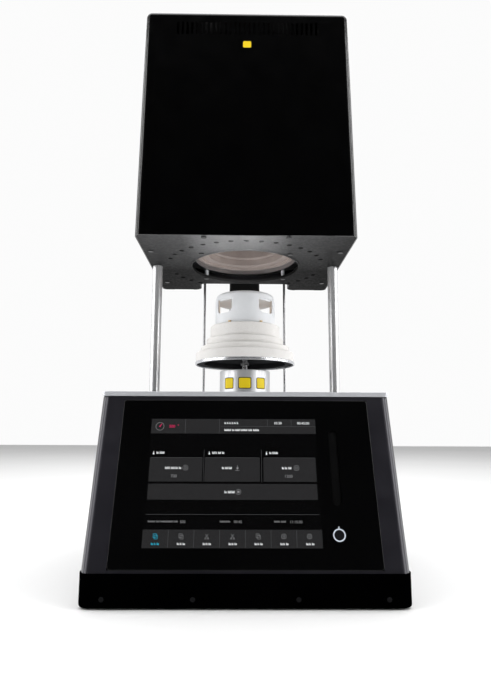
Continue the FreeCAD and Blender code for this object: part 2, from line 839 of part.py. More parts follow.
def mains_rocker():
    """Rocker with a shallow V face and a round back that turns about X."""
    body = new_body("mains_rocker")
    sketch = new_sketch(body, "rocker_side", "YZ_Plane", INLET["x"])
    z = INLET["z"] + ROCKER["up"]
    half = ROCKER["height"] / 2
    y = ROCKER["pivot_y"]
    outline(sketch, [(y - 4.5, z - 3), (y + 0.6, z - half), (y + 2.8, z - half), (y + 1.6, z),
                     (y + 4.4, z + half - 0.4), (y + 1.8, z + half), (y - 4.5, z + 3)])
    pad(body, sketch, ROCKER["width"], symmetric=True)
    fillet(body, "rocker_edges", 0.5, lambda e: abs(e.BoundBox.XMax - e.BoundBox.XMin) > 15
           and e.BoundBox.Center.y > y + 1)
    pivot = new_sketch(body, "rocker_pivot", "YZ_Plane", INLET["x"])
    circle(pivot, y, z, ROCKER["pivot_radius"])
    pad(body, pivot, ROCKER["pivot_width"], symmetric=True)


def power_supply():
    """Enclosed supply with its terminal strip."""
    case = block("supply_case", 66, 160, 46, -143, 20, floor_inside)
    strip = block("supply_terminals", 52, 12, 12, -143, 106, floor_inside + 4)
    keep(fuse("supply_solid", [case, strip]), "power_supply")


def heater_relay():
    """Solid-state relay on a finned heat sink."""
    x, y = 138, -112
    base = block("sink_base", 60, 106, 6, x, y, floor_inside)
    fins = [block("sink_fin", 2, 106, 20, x + step, y, floor_inside + 6) for step in (-28, -22, 22, 28)]
    relay = block("relay_case", 36, 58, 22, x, y, floor_inside + 6)
    keep(fuse("relay_solid", [base, relay] + fins), "heater_relay")


# ---- lift drive in the base ----

drive_plate_top = dim.drive_plate_bottom + dim.drive_plate_thickness
PULLEY_BOTTOM = 9
PULLEY_HEIGHT = 12
CARRIAGE_THICKNESS = 12
DRIVE_POSTS = ((-92, -42), (104, -42), (-92, 142), (118, 146))


def lift_base_plate():
    """Plate that carries the guide rods, screw bearing and motor."""
    body = new_body("lift_base_plate")
    flat = new_sketch(body, "drive_plate_outline", "XY_Plane", dim.drive_plate_bottom)
    rectangle(flat, -102, 128, -52, 156)
    pad(body, flat, dim.drive_plate_thickness)
    holes = new_sketch(body, "drive_plate_holes", "XY_Plane", drive_plate_top)
    circle(holes, 0, dim.screw_back, dim.screw_radius + 0.6)
    circle(holes, dim.motor_across, dim.motor_back, 12)
    for side in (-1, 1):
        circle(holes, side * dim.rod_across, 0, dim.rod_radius - 2)
    pocket(body, holes, dim.drive_plate_thickness + 2)


def lift_plate_posts():
    height = dim.drive_plate_bottom - floor_inside
    posts = [cylinder("drive_post", 6, height, x, y, floor_inside) for x, y in DRIVE_POSTS]
    keep(group("drive_posts", posts), "lift_plate_posts")


def guide_rods():
    """Two ground rods from the drive plate up to the top plate."""
    rods = []
    for side in (-1, 1):
        x = side * dim.rod_across
        rod = cylinder("rod", dim.rod_radius, plate_bottom - drive_plate_top, x, 0, drive_plate_top)
        spigot = cylinder("rod_spigot", dim.rod_radius - 2, dim.drive_plate_thickness, x, 0,
                          dim.drive_plate_bottom)
        rods.append(fuse("guide_rod", [rod, spigot]))
    keep(group("guide_rod_pair", rods), "guide_rods")


def guide_bushes():
    """Flanged bushes of the carriage, running on the rods."""
    bushes = []
    bore = dim.rod_radius + dim.running_gap
    for side in (-1, 1):
        x = side * dim.rod_across
        sleeve = tube("bush_sleeve", 9, bore, 16, x, 0, dim.carriage_bottom - 2)
        flange = tube("bush_flange", 12, bore, 2, x, 0, dim.carriage_bottom - 2)
        bushes.append(fuse("bush", [sleeve, flange]))
    keep(group("bush_pair", bushes), "guide_bushes")


def lift_carriage():
    """Cross plate that joins the tube, the nut and the bushes."""
    body = new_body("lift_carriage")
    flat = new_sketch(body, "carriage_outline", "XY_Plane", dim.carriage_bottom)
    outline(flat, [(-78, -20), (-45, -44), (45, -44), (78, -20), (78, 20), (45, 44), (17, 50), (17, 90),
                   (-17, 90), (-17, 50), (-45, 44), (-78, 20)])
    pad(body, flat, CARRIAGE_THICKNESS)
    holes = new_sketch(body, "carriage_holes", "XY_Plane", dim.carriage_bottom + CARRIAGE_THICKNESS)
    circle(holes, 0, dim.screw_back, 11)
    for side in (-1, 1):
        circle(holes, side * dim.rod_across, 0, 9)
    pocket(body, holes, CARRIAGE_THICKNESS + 2)


def lift_nut():
    """Flanged nut in the carriage, running on the screw."""
    bore = dim.screw_radius + dim.running_gap
    top = dim.carriage_bottom + CARRIAGE_THICKNESS
    barrel = tube("nut_barrel", 11, bore, CARRIAGE_THICKNESS + 5, 0, dim.screw_back, dim.carriage_bottom)
    flange = tube("nut_flange", 15, bore, 5, 0, dim.screw_back, top)
    keep(fuse("nut_solid", [barrel, flange]), "lift_nut")


def lead_screw():
    """Vertical lift screw; its thread is left plain."""
    shaft = cylinder("screw_shaft", dim.screw_radius, 229, 0, dim.screw_back, PULLEY_BOTTOM)
    keep(group("screw_solid", [shaft]), "lead_screw")


def screw_pulley():
    """Large belt pulley on the screw's lower end."""
    pulley = tube("large_pulley", dim.screw_pulley_radius, dim.screw_radius, PULLEY_HEIGHT, 0, dim.screw_back,
                  PULLEY_BOTTOM)
    keep(pulley, "screw_pulley")


def screw_bearings():
    """Pillow blocks at both ends of the screw."""
    bore = dim.screw_radius + dim.running_gap
    blocks = []
    for name, z, height in (("lower_bearing", drive_plate_top, 10), ("upper_bearing", plate_bottom - 16, 16)):
        case = block(f"{name}_case", 40, 24, height, 0, dim.screw_back, z)
        hole = cylinder(f"{name}_bore", bore, height, 0, dim.screw_back, z)
        blocks.append(cut(name, case, [hole]))
    keep(group("bearing_pair", blocks), "screw_bearings")


MOTOR_SIZE = 56
SHAFT_RADIUS = 4


def lift_motor():
    """Square stepper motor standing on the drive plate, shaft down."""
    case = block("motor_case", MOTOR_SIZE, MOTOR_SIZE, 50, dim.motor_across, dim.motor_back, drive_plate_top)
    boss = cylinder("motor_boss", 12, 4, dim.motor_across, dim.motor_back, drive_plate_top - 4)
    corners = [cylinder("motor_corner", 4, 32, dim.motor_across + a * MOTOR_SIZE / 2,
                        dim.motor_back + b * MOTOR_SIZE / 2, drive_plate_top + 8) for a, b in four_corners]
    bore = cylinder("motor_bore", SHAFT_RADIUS + dim.running_gap, 30, dim.motor_across, dim.motor_back,
                    drive_plate_top - 5)
    keep(cut("motor_solid", fuse("motor_shell", [case, boss]), corners + [bore]), "lift_motor")


def motor_pulley():
    """Small belt pulley on the motor's shaft."""
    rim = cylinder("small_pulley", dim.motor_pulley_radius, PULLEY_HEIGHT, dim.motor_across, dim.motor_back,
                   PULLEY_BOTTOM)
    shaft = cylinder("motor_shaft", SHAFT_RADIUS, 40, dim.motor_across, dim.motor_back, PULLEY_BOTTOM)
    keep(fuse("motor_pulley_solid", [rim, shaft]), "motor_pulley")


def belt_loop(large, small, span):
    """Flat face inside a belt line round two circles, the large one at the origin, the small one along +X."""
    lean = math.acos((large - small) / span)
    up = Vector(math.cos(lean), math.sin(lean), 0)
    down = Vector(math.cos(lean), -math.sin(lean), 0)
    centre = Vector(span, 0, 0)
    edges = [
        Part.LineSegment(centre + up * small, up * large).toShape(),
        Part.Arc(up * large, Vector(-large, 0, 0), down * large).toShape(),
        Part.LineSegment(down * large, centre + down * small).toShape(),
        Part.Arc(centre + down * small, centre + Vector(small, 0, 0), centre + up * small).toShape(),
    ]
    return Part.Face(Part.Wire(edges))


def drive_belt():
    """Closed belt round both pulleys."""
    gap = number_of(dim.running_gap)
    thick = number_of(dim.belt_thickness)
    large = number_of(dim.screw_pulley_radius) + gap
    small = number_of(dim.motor_pulley_radius) + gap
    across = number_of(dim.motor_across)
    back = number_of(dim.motor_back - dim.screw_back)
    span = math.hypot(across, back)
    ring = belt_loop(large + thick, small + thick, span).cut(belt_loop(large, small, span))
    belt = doc.addObject("Part::Feature", "belt_solid")
    belt.Shape = ring.extrude(Vector(0, 0, PULLEY_HEIGHT - 2))
    turn = Rotation(Vector(0, 0, 1), math.degrees(math.atan2(back, across)))
    belt.Placement = Placement(Vector(0, number_of(dim.screw_back), PULLEY_BOTTOM + 1), turn)
    keep(belt, "drive_belt")


# ---- lift tube and table ----

def lift_tube():
    """Steel tube with a closed top that carries the table."""
    radius, wall = dim.tube_radius, dim.tube_wall
    cap = 6
    body = revolved("lift_tube", [(radius - wall, dim.tube_bottom), (radius, dim.tube_bottom),
                                  (radius, dim.tube_top), (dim.post_radius, dim.tube_top),
                                  (dim.post_radius, dim.tube_top - cap), (radius - wall, dim.tube_top - cap)])
    fillet(body, "tube_top_edge", 0.8, lambda e: at_radius(e, radius, dim.tube_top))


def tube_gland():
    """Plain bearing ring in the top plate, round the tube."""
    ring = tube("gland_ring", dim.tube_radius + 2.5, dim.tube_radius + dim.running_gap, dim.plate_thickness,
                0, 0, plate_bottom)
    keep(ring, "tube_gland")


dish_under = dim.dish_top - (dim.disc_top - dim.disc_under)


def table_post():
    """Spindle between the tube and the table, with its lock nut."""
    base = dim.tube_top - 6
    spindle = cylinder("post_spindle", dim.post_radius, dish_under - base, 0, 0, base)
    nut = prism("post_nut", 6, dim.post_radius + 2.6, 4.3, 0, 0, dim.disc_rim_bottom)
    keep(fuse("post_solid", [spindle, nut]), "table_post")


def table_disc():
    """Polished plate with a turned-down rim and a raised middle, hollow below."""
    rim = dim.disc_radius - 2
    hollow = dim.dish_radius - 2
    body = revolved("table_disc", [(0, dish_under), (hollow, dish_under), (hollow, dim.disc_under),
                                   (rim, dim.disc_under), (rim, dim.disc_rim_bottom),
                                   (dim.disc_radius, dim.disc_rim_bottom), (dim.disc_radius, dim.disc_top),
                                   (dim.dish_radius, dim.disc_top), (dim.dish_radius, dim.dish_top),
                                   (0, dim.dish_top)])
    fillet(body, "disc_top_edge", 1.6, lambda e: at_radius(e, dim.disc_radius, dim.disc_top))
    fillet(body, "disc_rim_edge", 0.6, lambda e: at_radius(e, dim.disc_radius, dim.disc_rim_bottom))


def stepped_insulation(label, underside, steps):
    """Round insulation block from its underside corners and one step per (radius, top)."""
    profile = list(underside)
    for n, (radius, top) in enumerate(steps):
        if n:
            profile.append((radius, steps[n - 1][1]))
        profile.append((radius, top))
    profile.append((0, steps[-1][1]))
    body = revolved(label, profile)
    fillet(body, f"{label}_edges", 1.8, lambda e: any(at_radius(e, radius, top) for radius, top in steps))


def table_insulation():
    """Two blocks: the lower one sits over the disc's raised middle, the upper one carries the cup."""
    a_radius, b_radius, c_radius = dim.step_a_radius, dim.step_b_radius, dim.step_c_radius
    stepped_insulation("table_insulation_lower",
                       [(0, dim.dish_top), (dim.dish_radius, dim.dish_top), (dim.dish_radius, dim.disc_top),
                        (a_radius, dim.disc_top)],
                       [(a_radius, dim.step_a_top), (b_radius, dim.step_b_top)])
    stepped_insulation("table_insulation_upper", [(0, dim.step_b_top), (c_radius, dim.step_b_top)],
                       [(c_radius, dim.step_c_top), (dim.step_d_radius, dim.step_d_top)])


def tray_pegs():
    """Four ceramic pegs that centre the firing cup."""
    pegs = [cylinder("peg", dim.peg_radius, dim.peg_height, a * dim.peg_across, b * dim.peg_along,
                     dim.step_d_top) for a, b in four_corners]
    keep(group("peg_set", pegs), "tray_pegs")


def firing_tray():
    """Ceramic cup with four gas windows let into its rim and four notches for the pegs."""
    radius, wall = dim.cup_radius, dim.cup_wall
    bottom, top = dim.step_d_top, dim.cup_top
    body = revolved("firing_tray", [(0, bottom), (radius, bottom), (radius, top), (radius - wall, top),
                                    (radius - wall, bottom + wall), (0, bottom + wall)])
    half_width = number_of(dim.window_width) / 2
    low = number_of(top - dim.window_depth)
    reach = number_of(radius) + 5
    for n in range(2):
        turn = 45 + 90 * n
        frame = Rotation(Vector(0, 1, 0), turn)
        sketch = new_sketch(body, f"window_{n}", "XZ_Plane", slope=Placement(Vector(), frame))
        chamfer = 7
        high = number_of(top) + 1
        right = [(half_width - chamfer, low), (half_width - 2, low + 2.5), (half_width, low + chamfer),
                 (half_width, high)]
        outline(sketch, [(-x, y) for x, y in reversed(right)] + right)
        pocket(body, sketch, 2 * reach, symmetric=True)
    notches = new_sketch(body, "peg_notches", "XY_Plane", bottom)
    for a, b in four_corners:
        circle(notches, a * dim.peg_across, b * dim.peg_along, dim.peg_radius + 0.4)
    pocket(body, notches, dim.peg_height + 0.4, reverse=True)


def tray_lid():
    """Ceramic lid with a rounded top edge and a locating step."""
    inner = dim.cup_radius - dim.cup_wall - 0.4
    outer = dim.lid_radius
    body = revolved("tray_lid", [(0, dim.cup_top - 2), (inner, dim.cup_top - 2), (inner, dim.cup_top),
                                 (outer, dim.cup_top), (outer, dim.lid_top), (0, dim.lid_top)])
    fillet(body, "lid_edge", 6, lambda e: at_radius(e, dim.lid_radius, dim.lid_top))


# ---- columns between the base and the head ----

def column(label, side):
    """Chrome column with a stud at each end."""
    x = side * dim.column_across
    bar = cylinder(f"{label}_bar", dim.column_radius, dim.head_bottom - plate_top, x, 0, plate_top)
    lower = cylinder(f"{label}_lower_stud", dim.stud_radius, 17, x, 0, plate_top - 17)
    upper = cylinder(f"{label}_upper_stud", dim.stud_radius, 15, x, 0, dim.head_bottom)
    keep(fuse(f"{label}_solid", [bar, lower, upper]), label)


def column_nuts():
    """Nuts on the column studs, below the plate and above the head's floor."""
    nuts = []
    height = 6
    for side in (-1, 1):
        x = side * dim.column_across
        for z in (plate_bottom - height, dim.head_bottom + dim.head_floor_thickness):
            hexagon = prism("nut_hexagon", 6, 6.4, height, x, 0, z)
            hexagon.Placement.Rotation = Rotation(Vector(0, 0, 1), 30)
            nuts.append(cut("column_nut", hexagon, [cylinder("nut_bore", dim.stud_radius, height, x, 0, z)]))
    keep(group("column_nut_set", nuts), "column_nuts")


def stay_rods():
    """Thin rear stays with a foot collar each."""
    rods = []
    for side in (-1, 1):
        x = side * dim.stay_across
        rod = cylinder("stay", dim.stay_radius, dim.recess_top + 8 - plate_top, x, dim.stay_back, plate_top)
        collar = cylinder("stay_collar", 6.2, 1.8, x, dim.stay_back, plate_top)
        rods.append(fuse("stay_rod", [rod, collar]))
    keep(group("stay_pair", rods), "stay_rods")


def cable_duct():
    """Hollow rear conduit that carries the wiring up to the head."""
    height = dim.recess_top - plate_top
    outside = block("duct_block", dim.duct_width, dim.duct_depth, height, 0, dim.duct_back, plate_top)
    outside = rounded("duct_rounded", outside, 5, is_upright)
    inside = block("duct_hollow", dim.duct_width - 5, dim.duct_depth - 5, height, 0, dim.duct_back, plate_top)
    keep(cut("duct_solid", outside, [inside]), "cable_duct")


# ---- head ----

COVER_GAP = 0.1
REAR_COVER_HALF = 132
REAR_COVER_TOP = 788
UNDER_SCREWS = ((-58.8, -139), (58.8, -139), (-141, -78), (141, -78), (-139, 92), (139, 92))
REAR_COVER_SCREWS = ((-124, 560), (124, 560), (-124, 670), (124, 670), (-124, 778), (124, 778))
RECESS_CORNER = 10
RECESS_FLARE = 14
recess_half = dim.recess_width / 2 + dim.sheet_wall
recess_flange = recess_half + RECESS_FLARE + 0.5


def head_floor():
    """Floor plate of the head with the table's mouth, vents and the rear notch."""
    body = new_body("head_floor")
    half = dim.head_width / 2 - dim.sheet_wall - COVER_GAP
    front = dim.head_front + dim.sheet_wall + COVER_GAP
    rear = dim.head_rear - dim.sheet_wall - COVER_GAP
    notch_front = dim.recess_front - dim.sheet_wall
    flat = new_sketch(body, "floor_outline", "XY_Plane", dim.head_bottom)
    right = [(half, front), (half, rear), (recess_half, rear), (recess_half, notch_front)]
    outline(flat, right + [(-x, y) for x, y in reversed(right)])
    pad(body, flat, dim.head_floor_thickness)
    fillet(body, "floor_corners", 8, lambda e: is_upright(e) and is_beside(e, half))
    fillet(body, "notch_mouth", RECESS_FLARE - 1, lambda e: is_upright(e) and is_beside(e, recess_half)
           and e.BoundBox.YMin > number_of(notch_front) + 1)
    fillet(body, "notch_corners", RECESS_CORNER + 1, lambda e: is_upright(e) and is_beside(e, recess_half)
           and e.BoundBox.YMax < number_of(notch_front) + 1)
    lip = new_sketch(body, "mouth_lip", "XY_Plane", dim.head_bottom)
    circle(lip, 0, 0, dim.mouth_radius + 2)
    pad(body, lip, 1.4, reverse=True)
    mouth = new_sketch(body, "mouth", "XY_Plane", dim.head_bottom + dim.head_floor_thickness)
    circle(mouth, 0, 0, dim.mouth_radius)
    pocket(body, mouth, 2 * dim.head_floor_thickness)
    holes = new_sketch(body, "floor_holes", "XY_Plane", dim.head_bottom + dim.head_floor_thickness)
    for n in list(range(-16, -1)) + list(range(2, 6)) + list(range(13, 17)):
        angle = math.radians(10 * n)
        vent = number_of(dim.vent_circle)
        circle(holes, vent * math.cos(angle), vent * math.sin(angle), dim.vent_radius)
    for side in (-1, 1):
        circle(holes, side * dim.column_across, 0, dim.stud_radius)
    for x, y in UNDER_SCREWS:
        circle(holes, x, y, 2)
    for a, b in four_corners:
        circle(holes, a * dim.standoff_offset, b * dim.standoff_offset, 2)
    pocket(body, holes, dim.head_floor_thickness + 2)


def head_rectangle(body, name, height, width, front, rear):
    sketch = new_sketch(body, name, "XY_Plane", height)
    rectangle(sketch, -(width / 2), width / 2, front, rear)
    return sketch


def head_cover():
    """Tapered sheet cover, open below and behind, with a row of vents at the top of its front."""
    body = new_body("head_cover")
    wall = dim.sheet_wall
    low = head_rectangle(body, "cover_low", dim.head_bottom, dim.head_width, dim.head_front, dim.head_rear)
    high = head_rectangle(body, "cover_high", dim.head_top, dim.head_top_width, dim.head_top_front,
                          dim.head_rear)
    loft = body.newObject("PartDesign::AdditiveLoft", "cover_outside")
    loft.Profile = low
    loft.Sections = [high]
    loft.Ruled = True
    doc.recompute()
    past = 0.5
    low_in = head_rectangle(body, "hollow_low", dim.head_bottom - past, dim.head_width - wall * 2,
                            dim.head_front + wall, dim.head_rear - wall)
    high_in = head_rectangle(body, "hollow_high", dim.head_top - wall, dim.head_top_width - wall * 2,
                             dim.head_top_front + wall, dim.head_rear - wall)
    hollow = body.newObject("PartDesign::SubtractiveLoft", "cover_hollow")
    hollow.Profile = low_in
    hollow.Sections = [high_in]
    hollow.Ruled = True
    doc.recompute()
    tall = 100
    half = number_of(dim.head_top_width) / 2

    def is_corner(edge, inner):
        start, end = ends_of(edge)
        if abs(start.z - end.z) < tall:
            return False
        upper = start if start.z > end.z else end
        return (abs(upper.x) < half - 1) == inner

    fillet(body, "cover_inner_corners", dim.head_edge - wall, lambda e: is_corner(e, True))
    fillet(body, "cover_inner_top", dim.head_top_edge - wall, lambda e: at_height(e, dim.head_top - wall))
    fillet(body, "cover_outer_corners", dim.head_edge, lambda e: is_corner(e, False))
    fillet(body, "cover_outer_top", dim.head_top_edge, lambda e: at_height(e, dim.head_top))
    opening = new_sketch(body, "rear_opening", "XZ_Plane", -(dim.head_rear - 10))
    rectangle(opening, -REAR_COVER_HALF, REAR_COVER_HALF, dim.head_bottom - 5, REAR_COVER_TOP)
    pocket(body, opening, 20)
    slot = new_sketch(body, "vent_slot", "XZ_Plane", -dim.head_top_front - 10)
    first = -14.5 * dim.slot_pitch
    rectangle(slot, first - dim.slot_width / 2, first + dim.slot_width / 2, dim.slot_low, dim.slot_high)
    first_slot = pocket(body, slot, 30, reverse=True)
    row = body.newObject("PartDesign::LinearPattern", "vent_row")
    row.Originals = [first_slot]
    row.Direction = (slot, ["H_Axis"])
    bind(row, "Length", dim.slot_pitch * 29)
    row.Occurrences = 30
    body.Tip = row
    doc.recompute()


def head_rear_cover():
    """Removable rear sheet of the head, notched round the cable recess."""
    body = new_body("head_rear_cover")
    half = REAR_COVER_HALF - COVER_GAP
    notch = recess_flange + 0.2
    notch_top = dim.recess_top + dim.sheet_wall + 0.2
    low = dim.head_bottom + dim.head_floor_thickness
    flat = new_sketch(body, "rear_cover_outline", "XZ_Plane", -dim.head_rear)
    right = [(half, REAR_COVER_TOP - COVER_GAP), (half, low), (notch, low), (notch, notch_top)]
    outline(flat, right + [(-x, y) for x, y in reversed(right)])
    pad(body, flat, dim.sheet_wall)
    holes = new_sketch(body, "rear_cover_holes", "XZ_Plane", -dim.head_rear)
    for x, z in REAR_COVER_SCREWS:
        circle(holes, x, z, 2)
    for row in range(2):
        for n in range(16):
            x = (n - 7.5) * 11
            z = 560 + 130 * row
            rectangle(holes, x - 2, x + 2, z, z + 46)
    pocket(body, holes, dim.sheet_wall * 2, reverse=True)


def flared_block(name, half, flange, front, waist, rear, height, corner, flare):
    """Upright block with round front corners that widens to the rear past its waist."""
    body = doc.addObject("PartDesign::Body", name)
    plan = new_sketch(body, f"{name}_plan", "XY_Plane", dim.head_bottom)
    outline(plan, [(-half, front), (half, front), (half, waist), (flange, waist),
                   (flange, rear), (-flange, rear), (-flange, waist), (-half, waist)])
    pad(body, plan, height)
    fillet(body, f"{name}_front", corner, lambda e: is_upright(e) and is_beside(e, half)
           and e.BoundBox.YMax < number_of(front) + 1)
    fillet(body, f"{name}_flare", flare, lambda e: is_upright(e) and is_beside(e, half)
           and e.BoundBox.YMin > number_of(waist) - 1)
    return body


def cable_recess():
    """Pressed sheet recess, flared to the rear, where the duct and the stays enter the head."""
    wall = dim.sheet_wall
    height = dim.recess_top - dim.head_bottom
    past = 5
    outside = flared_block("recess_outside", recess_half, recess_flange, dim.recess_front - wall,
                           dim.head_rear - wall, dim.head_rear, height + wall, RECESS_CORNER + wall,
                           RECESS_FLARE - wall)
    inside = flared_block("recess_inside", dim.recess_width / 2, recess_flange + past, dim.recess_front,
                          dim.head_rear, dim.head_rear + past, height, RECESS_CORNER, RECESS_FLARE)
    entry = block("recess_entry", dim.duct_width - 8, 20, wall, 0, dim.duct_back, dim.recess_top)
    holes = [cylinder("stay_hole", dim.stay_radius, wall, side * dim.stay_across, dim.stay_back,
                      dim.recess_top) for side in (-1, 1)]
    keep(cut("recess_solid", outside, [inside, entry] + holes), "cable_recess")


def head_screws():
    """Button screws of the floor and the rear cover."""
    screws = []
    for x, y in UNDER_SCREWS:
        head = cylinder("floor_screw_head", 3.8, 1.4, x, y, dim.head_bottom - 1.4)
        shank = cylinder("floor_screw_shank", 2, 8, x, y, dim.head_bottom)
        screws.append(fuse("floor_screw", [head, shank]))
    for x, z in REAR_COVER_SCREWS:
        head = cylinder("cover_screw_head", 3.8, 1.8, x, dim.head_rear, z, (0, 1, 0))
        shank = cylinder("cover_screw_shank", 2, 6, x, dim.head_rear - 6, z, (0, 1, 0))
        screws.append(fuse("cover_screw", [head, shank]))
    for a, b in four_corners:
        x, y = a * dim.standoff_offset, b * dim.standoff_offset
        head = cylinder("muffle_screw_head", 3.8, 1.4, x, y, dim.head_bottom - 1.4)
        shank = cylinder("muffle_screw_shank", 2, dim.head_floor_thickness, x, y, dim.head_bottom)
        screws.append(fuse("muffle_screw", [head, shank]))
    keep(group("head_screw_set", screws), "head_screws")


# ---- muffle ----

BASE_RING_BOTTOM = 478


def muffle_base_ring():
    """Metal ring that carries the muffle and guides the table."""
    inner = dim.ring_radius
    collar = inner + 2
    outer = dim.muffle_radius
    revolved("muffle_base_ring", [(inner, dim.ring_bottom), (collar, dim.ring_bottom),
                                  (collar, BASE_RING_BOTTOM), (outer, BASE_RING_BOTTOM),
                                  (outer, dim.muffle_bottom), (inner, dim.muffle_bottom)])


def muffle_standoffs():
    """Ceramic spacers between the head's floor and the muffle."""
    base = dim.head_bottom + dim.head_floor_thickness
    offset = dim.standoff_offset
    posts = [cylinder("standoff", 3.2, BASE_RING_BOTTOM - base, a * offset, b * offset, base)
             for a, b in four_corners]
    keep(group("standoff_set", posts), "muffle_standoffs")


def muffle_throat():
    """Stepped ceramic ring that the table's steps close."""
    outer = dim.muffle_radius
    a_radius, b_radius, c_radius = dim.throat_a_radius, dim.throat_b_radius, dim.throat_c_radius
    lead_in = 2
    revolved("muffle_throat", [(a_radius, dim.muffle_bottom), (outer, dim.muffle_bottom),
                               (outer, dim.throat_top), (c_radius, dim.throat_top),
                               (c_radius, dim.throat_b_top + lead_in), (c_radius + lead_in, dim.throat_b_top),
                               (b_radius, dim.throat_b_top), (b_radius, dim.throat_a_top),
                               (a_radius, dim.throat_a_top)])


def muffle_wall():
    """Fibre wall of the chamber."""
    revolved("muffle_wall", [(dim.chamber_radius, dim.throat_top), (dim.muffle_radius, dim.throat_top),
                             (dim.muffle_radius, dim.chamber_roof), (dim.chamber_radius, dim.chamber_roof)])


def element_legs():
    """Places of the straight legs, in pairs."""
    circle_radius = number_of(dim.element_circle)
    pairs = []
    for n in range(4):
        middle = 45 + 90 * n
        pairs.append([(circle_radius * math.cos(math.radians(middle + step)),
                       circle_radius * math.sin(math.radians(middle + step))) for step in (-9, 9)])
    return pairs


def muffle_roof():
    """Fibre roof with bores for the heating legs and the thermocouple."""
    height = dim.muffle_top - dim.chamber_roof
    disc = cylinder("roof_disc", dim.muffle_radius, height, 0, 0, dim.chamber_roof)
    bores = [cylinder("leg_bore", dim.element_radius + 0.5, height, x, y, dim.chamber_roof)
             for pair in element_legs() for x, y in pair]
    bores.append(cylinder("probe_bore", 3, height, 0, 0, dim.chamber_roof))
    keep(cut("roof_solid", disc, bores), "muffle_roof")


def muffle_can():
    """Sheet can round the fibre, with an inward flange on top."""
    inner = dim.muffle_radius + 0.2
    outer = inner + 1.5
    flange = inner - 10
    top = dim.muffle_top
    revolved("muffle_can", [(inner, BASE_RING_BOTTOM), (outer, BASE_RING_BOTTOM), (outer, top + 1.5),
                            (flange, top + 1.5), (flange, top), (inner, top)])


ELEMENT_TOP = 668
ELEMENT_BEND = 526


def heating_elements():
    """Four hanging hairpin heating elements."""
    hairpins = []
    for (x1, y1), (x2, y2) in element_legs():
        legs = [cylinder("element_leg", dim.element_radius, ELEMENT_TOP - ELEMENT_BEND, x, y, ELEMENT_BEND)
                for x, y in ((x1, y1), (x2, y2))]
        bend = doc.addObject("Part::Torus", "element_bend")
        bend.Radius1 = math.hypot(x2 - x1, y2 - y1) / 2
        bind(bend, "Radius2", dim.element_radius)
        bend.Angle3 = 180
        facing = math.degrees(math.atan2(y2 - y1, x2 - x1))
        upright = Rotation(Vector(0, 0, 1), facing).multiply(Rotation(Vector(1, 0, 0), -90))
        bend.Placement = Placement(Vector((x1 + x2) / 2, (y1 + y2) / 2, ELEMENT_BEND), upright)
        hairpins.append(fuse("hairpin", legs + [bend]))
    keep(group("hairpin_set", hairpins), "heating_elements")


def element_terminals():
    """Clamps on the ends of the heating legs."""
    clamps = [tube("clamp", 4.5, dim.element_radius, 14, x, y, dim.muffle_top)
              for pair in element_legs() for x, y in pair]
    keep(group("clamp_set", clamps), "element_terminals")


def thermocouple():
    """Ceramic-sheathed probe with its connection head."""
    sheath = cylinder("probe_sheath", 2.5, 66, 0, 0, 590)
    head = cylinder("probe_head", 10, 18, 0, 0, dim.muffle_top)
    keep(fuse("probe_solid", [sheath, head]), "thermocouple")


# ---- build, check and write ----

base_tray()
rubber_feet()
base_screws()
base_housing()
base_rear_panel()
top_plate()
plate_seal()
panel_carrier()
panel_glass()
status_lens()
standby_light_ring()
standby_key()
display_module()
controller_board()
mains_inlet()
mains_rocker()
fan_frame()
fan_rotor()
power_supply()
heater_relay()
lift_base_plate()
lift_plate_posts()
lift_motor()
motor_pulley()
drive_belt()
lead_screw()
screw_pulley()
screw_bearings()
guide_rods()
guide_bushes()
lift_carriage()
lift_nut()
lift_tube()
tube_gland()
table_post()
table_disc()
table_insulation()
tray_pegs()
firing_tray()
tray_lid()
column("column_left", -1)
column("column_right", 1)
column_nuts()
stay_rods()
cable_duct()
head_floor()
head_cover()
head_rear_cover()
cable_recess()
head_screws()
muffle_base_ring()
muffle_standoffs()
muffle_throat()
muffle_wall()
muffle_roof()
muffle_can()
heating_elements()
element_terminals()
thermocouple()
doc.recompute()

for item in doc.Objects:
    if "Invalid" in item.State or "Error" in item.State:
        raise RuntimeError(f"{item.Label} failed: {item.State}")
for item in subparts:
    if item.Shape.isNull() or not item.Shape.isValid():
        raise RuntimeError(f"{item.Label} has no valid shape")

os.makedirs("parts", exist_ok=True)
for item in subparts:
    item.Shape.exportStep(f"parts/{item.Label}.step")
print(len(subparts), "sub-parts written")
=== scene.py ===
import math

import bmesh
import bpy
from mathutils import Matrix, Vector


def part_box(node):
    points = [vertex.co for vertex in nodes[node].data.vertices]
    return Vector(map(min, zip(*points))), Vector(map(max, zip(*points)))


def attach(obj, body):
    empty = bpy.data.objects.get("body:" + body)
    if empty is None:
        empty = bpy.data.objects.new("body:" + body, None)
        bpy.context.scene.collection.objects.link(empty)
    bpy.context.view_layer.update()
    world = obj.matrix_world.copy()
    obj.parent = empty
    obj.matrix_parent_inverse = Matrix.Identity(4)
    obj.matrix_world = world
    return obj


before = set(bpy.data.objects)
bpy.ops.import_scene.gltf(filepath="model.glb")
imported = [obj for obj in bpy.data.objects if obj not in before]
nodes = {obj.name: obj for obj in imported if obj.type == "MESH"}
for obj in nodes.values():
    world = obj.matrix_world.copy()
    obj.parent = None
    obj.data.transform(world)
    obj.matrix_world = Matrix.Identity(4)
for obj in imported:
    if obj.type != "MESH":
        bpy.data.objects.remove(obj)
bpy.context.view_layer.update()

MM = 0.001


def corners(node):
    """Lowest and highest corner of a CAD node."""
    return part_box(node)


# ---- materials ----

# relief depths in metres
PAINT_DEPTH = 0.00012
WEAR_DEPTH = 0.00006
TURNED_DEPTH = 0.00004
GRAIN_DEPTH = 0.0001


